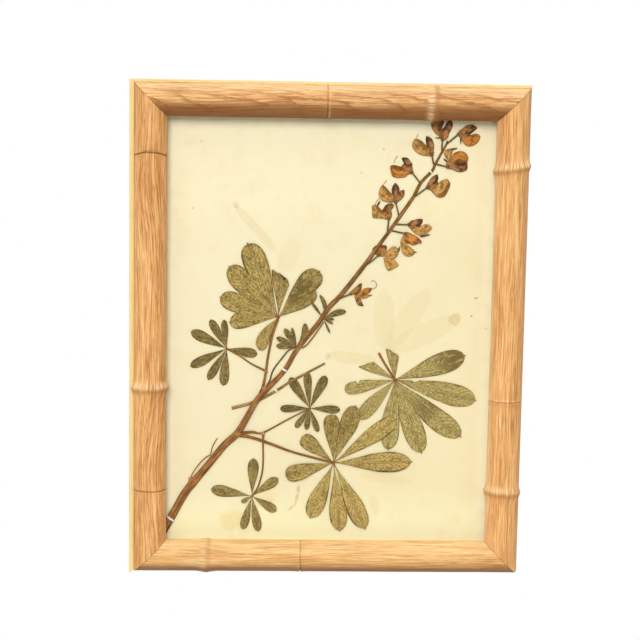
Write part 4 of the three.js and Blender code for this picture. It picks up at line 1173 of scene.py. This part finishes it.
# Each flower: root on the stem, calyx, how many petals its cup holds, petals as tone, fold side, one edge
# from root to tip and the other edge between them, sepals as foot, tip and width, and style hairs
flowerSets = {
    "flower_1": {
        "root": (69.2, 116.5), "calyx": (69.5, 123), "cup": 2,
        "petals": [
            ("bronze", 1, [(68.3, 124.6), (65.9, 125.8), (63.5, 128.4), (62.1, 131.5), (62.6, 134.1),
                           (65.2, 135.8), (69.9, 136.3)],
             [(68.8, 126.4), (68.5, 128.5), (69.2, 130.8), (70.2, 133.7)]),
            ("dusk", -1, [(69.3, 124.1), (68.5, 126.4), (69.1, 128.8), (71.0, 131.9), (72.6, 134.3),
                          (74.1, 135.8)],
             [(71.0, 124.6), (73.6, 127.0), (75.4, 130.2), (75.8, 132.8), (75.2, 134.8)]),
        ],
        "sepals": [((69.1, 124.1), (64.7, 124.1), 0.8)]},
    "flower_2": {
        "root": (72.3, 120.4), "calyx": (79.6, 126.7), "cup": 2,
        "petals": [
            ("gold", 0, [(81.0, 125.1), (84.4, 125.2), (87.3, 126.2), (90.4, 127.1), (92.8, 126.3),
                         (93.5, 125.0)],
             [(81.6, 122.7), (83.8, 120.0), (86.4, 118.9), (89.6, 119.7), (92.4, 122.1)]),
            ("dusk", -1, [(80.1, 126.2), (82.3, 125.5), (84.4, 125.8), (87.0, 126.7), (89.3, 128.6),
                          (91.5, 130.7)],
             [(80.9, 128.7), (83.2, 131.3), (85.8, 132.4), (88.7, 132.5)]),
        ],
        "sepals": [((80.9, 124.0), (81.2, 120.2), 0.8)]},
    "flower_3": {
        "root": (65.4, 107.7), "calyx": (73, 106), "cup": 3,
        "petals": [
            ("tan", 0, [(74.0, 109.5), (72.1, 111.3), (70.5, 113.9), (71.2, 116.3), (73.5, 117.3),
                        (76.2, 117.5)],
             [(75.0, 111.6), (75.8, 114.0), (76.3, 116.1)]),
            ("gold", 1, [(74.2, 109.0), (75.4, 112.4), (77.6, 115.1), (81.0, 116.0), (84.1, 115.1),
                         (86.2, 112.0), (85.5, 109.1)],
             [(77.0, 108.4), (80.1, 108.3), (83.3, 108.5)]),
            ("dusk", 1, [(73.7, 107.4), (75.2, 105.3), (77.9, 103.6), (81.6, 102.8), (84.6, 103.7),
                         (85.8, 105.7), (85.5, 108.9)],
             [(76.4, 108.6), (80.1, 108.3), (83.0, 108.3)]),
        ],
        "sepals": [((74.6, 116.8), (79.2, 117.8), 1.2), ((73.0, 109.2), (70.3, 111.2), 1.1)]},
    "flower_4": {
        "root": (64.3, 107.4), "calyx": (63, 113.5), "cup": 2,
        "petals": [
            ("tan", -1, [(61.3, 113.0), (60.7, 115.3), (59.4, 118.4), (57.7, 120.9), (55.1, 122.7),
                         (52.2, 123.4)],
             [(58.4, 112.5), (55.2, 113.5), (52.0, 115.6), (50.3, 118.8), (50.9, 121.5)]),
            ("dusk", 1, [(62.3, 113.2), (63.8, 115.4), (64.4, 118.5), (63.8, 121.6), (62.0, 124.2),
                         (59.2, 125.2)],
             [(60.8, 115.3), (60.1, 117.9), (59.3, 120.5), (58.9, 123.1)]),
        ],
        "sepals": [((62.3, 113.8), (64.5, 114.9), 0.7)],
        "hairs": [[(53.2, 123.8), (53.4, 124.9), (54.0, 126.3)]]},
    "flower_5": {
        "root": (56.1, 95.6), "calyx": (50.5, 102.4), "cup": 2,
        "petals": [
            ("gold", -1, [(49.8, 102.2), (47.8, 104.4), (44.8, 105.4), (41.6, 106.2), (38.5, 106.7),
                          (36.6, 105.6)],
             [(48.7, 101.0), (46.5, 99.0), (43.4, 98.4), (40.4, 98.7), (38.0, 100.1)]),
            ("dusk", -1, [(50.0, 102.8), (48.6, 104.7), (46.5, 105.9), (45.1, 108.6), (44.1, 110.4),
                          (44.4, 111.5)],
             [(50.3, 104.4), (50.9, 107.1), (49.5, 109.3), (47.7, 111.3)]),
        ],
        "hairs": [[(39.4, 108.2), (39.7, 109.6), (40.4, 111.0), (41.5, 112.3)]]},
    "flower_6": {
        "root": (52.7, 86.9), "calyx": (60.8, 93), "cup": 2,
        "petals": [
            ("tan", 1, [(61.4, 92.3), (64.1, 92.7), (66.7, 94.9), (69.8, 97.5), (73.3, 98.4)],
             [(63.7, 89.9), (66.4, 87.2), (69.1, 86.4), (72.2, 87.7), (74.5, 92.2), (75.2, 95.6)]),
            ("dusk", 1, [(61.1, 92.5), (61.3, 95.4), (62.3, 98.0), (64.5, 100.2), (67.0, 101.3)],
             [(63.6, 93.1), (65.4, 94.7), (66.8, 96.5), (67.5, 98.9)]),
        ]},
    "flower_7": {
        "root": (42.9, 75.2), "calyx": (40.8, 83.3), "cup": 3,
        "petals": [
            ("tan", -1, [(39.7, 83.3), (39.5, 86.1), (37.3, 89.5), (34.9, 92.1), (32.3, 94.4)],
             [(36.5, 82.9), (32.8, 83.7), (30.5, 85.7), (29.9, 88.5), (30.5, 91.6)]),
            ("bronze", 0, [(40.9, 83.3), (41.9, 85.9), (43.1, 89.8), (44.6, 90.9), (46.3, 91.0)],
             [(42.8, 83.8), (44.7, 85.4), (46.2, 87.7)]),
            ("dusk", -1, [(40.6, 83.4), (39.7, 86.3), (38.2, 89.7), (38.5, 92.9), (40.3, 95.6)],
             [(41.5, 85.5), (42.8, 89.1), (43.1, 91.8), (41.9, 94.0)]),
        ],
        "hairs": [[(32.8, 94.4), (33.7, 95.5), (34.9, 96.9)]]},
    "flower_8": {
        "root": (36, 64.8), "calyx": (36.7, 72.7), "cup": 2,
        "petals": [
            ("tan", -1, [(36.0, 73.0), (34.0, 75.8), (31.7, 78.5), (29.4, 80.8), (27.4, 81.7)],
             [(33.6, 72.6), (29.9, 72.8), (26.8, 73.0), (26.1, 74.9), (25.9, 77.6), (26.0, 80.7)]),
            ("bronze", -1, [(36.5, 73.0), (34.9, 76.2), (33.4, 78.1), (33.8, 80.4), (35.6, 82.0),
                            (38.4, 82.6)],
             [(37.5, 74.1), (37.8, 77.3), (39.2, 79.6), (39.8, 81.2)]),
        ],
        "sepals": [((29.2, 80.7), (31.1, 84.3), 1.0)],
        "hairs": [[(27.8, 82.0), (28.8, 83.7), (30.1, 85.5)]]},
    "flower_9": {
        "root": (41.5, 69.3), "calyx": (49.6, 69.2), "cup": 2,
        "petals": [
            ("tan", 0, [(50.3, 68.6), (53.6, 67.4), (57.3, 68.4), (60.4, 69.7), (62.9, 68.9), (64.5, 67.1)],
             [(51.0, 65.7), (53.3, 63.7), (56.5, 62.0), (59.7, 62.2), (62.1, 64.5)]),
            ("dusk", 1, [(49.9, 69.3), (51.3, 70.7), (53.5, 72.4), (56.0, 73.0), (58.3, 72.8)],
             [(53.2, 67.8), (55.5, 67.9), (57.3, 69.3), (58.2, 71.0)]),
        ],
        "sepals": [((56.9, 61.7), (63.4, 63.2), 1.2)]},
    "flower_10": {
        "root": (38.6, 65.3), "calyx": (47.4, 63.5), "cup": 2,
        "petals": [
            ("tan", 0, [(46.8, 62.5), (45.1, 60.5), (44.3, 57.9), (44.8, 54.9), (45.6, 51.5), (47.7, 49.2),
                        (50.9, 48.8)],
             [(47.7, 58.4), (49.5, 56.1), (51.4, 54.7), (53.6, 52.4), (53.2, 50.2)]),
            ("gold", 0, [(47.3, 63.0), (50.1, 63.3), (53.3, 62.5), (55.7, 61.1), (58.0, 58.7)],
             [(47.5, 59.5), (50.3, 56.8), (53.0, 55.9), (55.8, 57.3)]),
            ("dusk", 0, [(49.0, 51.3), (51.3, 52.4), (53.1, 52.3), (55.5, 51.7)],
             [(51.3, 51.0), (53.4, 51.3)]),
            ("dusk", 0, [(54.9, 58.0), (55.9, 58.7), (57.0, 59.0), (58.0, 58.3)],
             [(55.7, 57.2), (57.1, 57.5)]),
        ],
        "sepals": [((48.1, 62.5), (47.4, 64.3), 0.7)]},
    "flower_11": {
        "root": (23.6, 43.6), "calyx": (30.6, 49.6), "elbows": [(27.4, 46.6)], "cup": 0, "behind": 1,
        "petals": [
            ("bronze", 0, [(35.0, 48.6), (32.2, 48.5), (28.8, 49.7), (26.8, 51.3), (26.8, 53.8)],
             [(35.7, 50.9), (35.9, 53.7), (34.4, 55.6), (31.2, 56.4), (28.5, 55.4)]),
            ("tan", 0, [(33.7, 47.8), (34.6, 44.1), (36.1, 40.5), (37.4, 39.6)],
             [(36.8, 47.8), (39.8, 47.6), (42.1, 45.5), (43.7, 43.1), (41.1, 41.2)]),
            ("tan", 0, [(34.1, 48.9), (35.8, 51.8), (38.5, 54.6), (40.8, 55.2), (43.1, 54.2)],
             [(36.4, 47.7), (39.2, 47.2), (42.0, 48.2), (43.3, 51.0)]),
            ("dusk", 0, [(35.9, 53.7), (35.8, 55.0), (35.1, 55.9), (34.1, 56.1)],
             [(35.2, 54.2), (34.6, 55.1)]),
        ],
        "sepals": [((43.1, 51.7), (44.3, 55.5), 1.0)]},
    "flower_12": {
        "root": (5.6, 21.2), "calyx": (13.5, 24.7), "cup": 0,
        "petals": [
            ("tan", 0, [(17.3, 22.9), (20.9, 23.3), (23.6, 24.3), (27.5, 24.1)],
             [(19.7, 21.4), (22.8, 21.6), (25.1, 22.6)]),
            ("gold", 0, [(15.5, 23.2), (18.6, 25.6), (21.7, 27.9), (24.9, 28.7), (27.4, 28.2)],
             [(19.1, 22.6), (22.7, 24.0), (25.5, 25.7)]),
            ("dusk", 0, [(15.8, 22.8), (16.8, 20.0), (18.3, 17.4), (19.7, 17.0), (21.9, 16.8)],
             [(19.3, 21.9), (20.6, 19.6)]),
            ("bronze", 1, [(13.2, 24.8), (13.9, 26.5), (16.7, 29.2), (18.9, 31.1), (20.5, 31.6)],
             [(16.9, 24.0), (18.7, 25.8), (20.1, 27.9)]),
        ],
        "hairs": [[(27.4, 28.1), (28.8, 28.4), (29.9, 30.3), (29.0, 32.5), (27.2, 33.4), (26.0, 32.3)]]},
}


def sepalForm(t):
    return (0.6 + t) * (1 - t) ** 0.7 / 0.66


def cupForm(t):
    return (t + 0.08) ** 0.5 * (1 - t) ** 0.5 / 0.54


# Here the stain is the shade of the fold
def makePetalTone():
    inputs = {"Vector": "Spot Place", "Color": "Base Vein Dark Rim", "Float": "Stain Tip"}
    group, given, out = newGroup("petalTone", inputs, {"Color": "Color", "Float": "Height"})
    across, along, seed = axes(given["Spot"])
    veins = streaksOn(fanned(across, along, seed), 0.30, 2.6, 3.0, 0.41, 0.59)
    color = tinted(given["Base"], given["Vein"], veins, 0.85)
    color = tinted(color, given["Vein"], cloud(given["Place"], 0.70, 3.0, 0.45, 0.58), 0.70)
    color = tinted(color, given["Dark"], cloud(given["Place"], 0.40, 4.0, 0.46, 0.64), 0.80)
    color = mixColor(fade(mathNode("ABSOLUTE", across), 0.74, 0.95, 0.0, 0.8), color, given["Rim"])
    color = tinted(color, given["Dark"], fade(along, 0.40, 1.0), given["Tip"])
    color = mixColor(fade(along, 0.02, 0.34, 0.65, 0.0), color, petalFoot)
    color = tinted(color, given["Dark"], given["Stain"], 0.75)
    feed(color, out["Color"])
    feed(veins, out["Height"])
    return group


petalTone = makePetalTone()
petalOrder = list(petalTones)
petalMaterials = [driedMaterial(name + "Petal", petalTone, tone, roughness=0.66, gleam=0.1, relief=0.00012)
                  for name, tone in petalTones.items()]


def makeFlower(name, flower):
    lay = flowerLay
    depth = plantFloor + lay["lift"]
    x, y = flower["calyx"]
    stalkShade = len(petalOrder)
    parts, ways = [], []
    for k, (tone, foldSide, edge, otherEdge) in enumerate(flower["petals"]):
        behind = k < flower.get("behind", 0)  # lies flat, behind the stem
        height = plantFloor + (0.0 if behind else lay["firstPetal"] + lay["nextPetal"] * k)
        look = flatLook if behind else petalLook
        seed = lay["seedStep"] * k + x
        parts.append(petalPart(edge, otherEdge, height, look, petalOrder.index(tone), seed, foldSide))
        ways.append(np.subtract(np.add(edge[-1], otherEdge[len(otherEdge) // 2]) / 2, (x, y)))
    if flower["cup"]:
        middle = np.mean([way / np.linalg.norm(way) for way in ways[:flower["cup"]]], axis=0)
        cup = (turnOf(middle), lay["cupReach"], lay["cupWidth"])
        shade = petalOrder.index("bronze")
        parts.append(bladePart((x, y), cup, cupForm, depth + lay["cupLift"], sepalLook, shade, x))
    for k, (foot, tip, width) in enumerate(flower.get("sepals", [])):
        run = np.subtract(tip, foot)
        sepal = (turnOf(run), np.linalg.norm(run), width)
        parts.append(bladePart(foot, sepal, sepalForm, depth + lay["sepalLift"], sepalLook, stalkShade,
                               x + k))
    for hair in flower.get("hairs", []):
        route = [(px, py, depth + lay["hairLift"], lay["hairWidth"], lay["hairThick"]) for px, py in hair]
        parts.append(stalkPart(route, 6, 0.5, shade=stalkShade, seed=x))
    parts.append(domePart(x, y, depth + lay["baseLift"], lay["baseRadius"], lay["baseHeight"], stalkShade))
    way = [flower["root"], *flower.get("elbows", []), flower["calyx"]]
    rises = np.linspace(0, lay["stalkRise"], len(way))
    route = [(*place, depth + rise, lay["stalkWidth"], lay["stalkThick"]) for place, rise in zip(way, rises)]
    parts.append(stalkPart(route, 10, 0.7, shade=stalkShade, seed=x))
    materials = petalMaterials + [stalkMaterials["flowerStalk"]]
    makePiece(name + "_withered", parts, materials, name, sharpAngle=55)


for flowerName, flowerSet in flowerSets.items():
    makeFlower(flowerName, flowerSet)
print("flowers placed")


# Paper straps over the stem and the twig

strapSets = {
    "strap_1": {"middle": (-100.3, -122.5),
                "turn": -36, "length": 8, "width": 1.2, "bridge": 5.0, "height": 1.75, "soil": 0.15},
    "strap_2": {"middle": (-28.3, -24.6),
                "turn": -30, "length": 5.8, "width": 1.1, "bridge": 3.1, "height": 1.1, "soil": 0.2},
    "strap_3": {"middle": (62.6, 102.8),
                "turn": -44, "length": 4.4, "width": 1, "bridge": 1.8, "height": 0.65, "soil": 0.55},
    "strap_4": {"middle": (-33.1, -38.4),
                "turn": -57, "length": 4.2, "width": 1.1, "bridge": 1.8, "height": 0.7, "soil": 0.75},
}
strapLook = {
    "thickness": 0.18, "steps": 41, "slack": 0.35, "spread": 1.05, "clearance": 0.3,
    "white": (0.95, 0.93, 0.87, 1), "cream": (0.85, 0.77, 0.60, 1), "spots": (0.80, 0.70, 0.52, 1),
}


def strapMaterial(name, soiled):
    material, tree, shader = newMaterial(name + "Gummed", 0.85)
    spots = cloud(carried(tree, "place"), 1.2, 4.0, 0.4, 0.8)
    paper = tuple(a + (b - a) * soiled for a, b in zip(strapLook["white"], strapLook["cream"]))
    paint(shader, tinted(paper, strapLook["spots"], spots, 0.4), spots, 0.00005, 0.6)
    return material


def makeStrap(name, strap):
    half = strap["length"] / 2
    reach = np.linspace(-half, half, strapLook["steps"])
    bump = (strap["bridge"] / 2 + strapLook["slack"]) * strapLook["spread"]
    arch = np.clip(1 - (np.abs(reach) / bump) ** 3, 0, None) ** 0.5
    rise = (strap["height"] + strapLook["clearance"]) * arch
    along, aside = headings(strap["turn"])
    aside = aside * strap["width"] / 2
    rings = []
    for u, lift in zip(reach, rise):
        middle = np.array(strap["middle"]) + along * u
        low = plantFloor + lift
        high = low + strapLook["thickness"]
        corners = [(middle - aside, high), (middle + aside, high), (middle + aside, low),
                   (middle - aside, low)]
        rings.append([(x, y, depth) for (x, y), depth in corners])
    rings = np.array(rings)
    material = strapMaterial(name, strap["soil"])
    makePiece(name + "_paper", [tubePart(rings, rings)], [material], name, sharpAngle=50)


for strapName, strapSet in strapSets.items():
    makeStrap(strapName, strapSet)
print("straps glued")


# Glass, board and steel keep their solids and get their finishes

glassSet = {"bend": 1.46, "clear": (0.985, 0.985, 0.98, 1)}
boardTints = {
    "dark": (0.19, 0.105, 0.055, 1), "pale": (0.30, 0.18, 0.10, 1), "patch": (0.36, 0.23, 0.13, 1),
    "chip": (0.10, 0.055, 0.03, 1),
}
steelTints = {
    "zincSteel": ((0.52, 0.53, 0.54, 1), (0.70, 0.71, 0.72, 1)),
    "nailSteel": ((0.30, 0.29, 0.27, 1), (0.44, 0.42, 0.39, 1)),
}
# Head of a nail as share of its radius and depth, then its shank and its point
nailSet = {
    "sides": 28, "head": [(0.05, 0.0), (0.45, 0.04), (0.75, 0.16), (0.94, 0.36), (1.0, 0.6), (0.97, 0.78)],
    "headDepth": 0.8, "shank": 0.42, "point": 0.04, "pointLength": 1.6,
}


def glassMaterial():
    material, tree, shader = newMaterial("pictureGlass", 0.0)
    shader["Base Color"].default_value = (1, 1, 1, 1)
    shader["Transmission Weight"].default_value = 1.0
    shader["IOR"].default_value = glassSet["bend"]
    path = addNode(tree, "LightPath").outputs
    clear = addNode(tree, "BsdfTransparent", {"Color": glassSet["clear"]}).outputs[0]
    # Light for the plant goes straight through
    passing = mathNode("MAXIMUM", path["Is Shadow Ray"], path["Is Diffuse Ray"])
    mixed = joinNode("MixShader", {0: passing, 1: tree.nodes["Principled BSDF"].outputs[0], 2: clear})[0]
    feed(mixed, tree.nodes["Material Output"].inputs["Surface"])
    return material


# Places on a solid, in millimetres
def objectSpot(tree):
    inputs = {0: addNode(tree, "TexCoord").outputs["Object"], "Scale": 1 / mm}
    return joinNode("VectorMath", inputs, operation="SCALE")[0]


def boardMaterial():
    material, tree, shader = newMaterial("hardboard", 0.85)
    spot = objectSpot(tree)
    fibre = cloud(spot, 1.3, 5.0, 0.35, 0.7)
    color = mixColor(fibre, boardTints["dark"], boardTints["pale"])
    color = tinted(color, boardTints["patch"], cloud(spot, 0.03, 3.0, 0.4, 0.7), 0.35)
    color = tinted(color, boardTints["chip"], cloud(spot, 4.0, 2.0, 0.62, 0.72), 0.6)
    paint(shader, color, fibre, 0.00015, 0.7)
    return material


def steelMaterial(name):
    material, tree, shader = newMaterial(name, 0.35)
    shader["Metallic"].default_value = 1.0
    bloom = cloud(objectSpot(tree), 0.35, 4.0, 0.3, 0.7)
    feed(mixColor(bloom, *steelTints[name]), shader["Base Color"])
    feed(fade(bloom, 0.0, 1.0, 0.28, 0.48), shader["Roughness"])
    return material


# Round-headed nails hold the hanger
def makeNail(name, material):
    low, high = (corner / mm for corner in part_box(name))
    x, y = (low.x + high.x) / 2, (low.z + high.z) / 2 - middleZ / mm
    radius, back, length = (high.x - low.x) / 2, -high.y, high.y - low.y
    shank = [(nailSet["shank"], nailSet["headDepth"]), (nailSet["shank"], length - nailSet["pointLength"])]
    angles = ringAngles(nailSet["sides"])
    rings = []
    for share, depth in [*nailSet["head"], *shank, (nailSet["point"], length)]:
        ring = radius * share * np.column_stack((np.cos(angles), np.sin(angles)))
        rings.append(np.column_stack((ring + (x, y), np.full(len(angles), back + depth))))
    rings = np.array(rings)
    makePiece(name + "_round", [tubePart(rings, rings)], [material], name, sharpAngle=35)


def finishSolid(names, material):
    for name in names:
        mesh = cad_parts[name].data
        mesh.materials.clear()
        mesh.materials.append(material)


steelNames = [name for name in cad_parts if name.startswith("point") or name == "hanger"]
finishSolid(["glass"], glassMaterial())
finishSolid(["backing_board"], boardMaterial())
finishSolid(steelNames, steelMaterial("zincSteel"))
nailSteel = steelMaterial("nailSteel")
for nailName in ("hanger_nail_left", "hanger_nail_right"):
    makeNail(nailName, nailSteel)
print("glass, board and steel finished")


# Floor under the hanging frame

floorSet = {
    "drop": 1250.0, "radius": 2300.0, "sides": 96, "color": (0.83, 0.82, 0.8, 1),
    "paler": (0.86, 0.85, 0.83, 1),
}


def makeFloor():
    angles = ringAngles(floorSet["sides"])
    height = middleZ - floorSet["drop"] * mm
    reach = floorSet["radius"] * mm
    ring = np.column_stack((reach * np.cos(angles), reach * np.sin(angles), np.full(len(angles), height)))
    mesh = bpy.data.meshes.new("floor")
    mesh.from_pydata(ring.tolist(), [], [tuple(range(len(ring)))])
    material, tree, shader = newMaterial("paleFloor", 0.9)
    grain = addNode(tree, "TexNoise", {"Scale": 40.0, "Detail": 3.0}).outputs[0]
    feed(mixColor(grain, floorSet["color"], floorSet["paler"]), shader["Base Color"])
    mesh.materials.append(material)
    floor = bpy.data.objects.new("floor", mesh)
    bpy.context.scene.collection.objects.link(floor)


makeFloor()
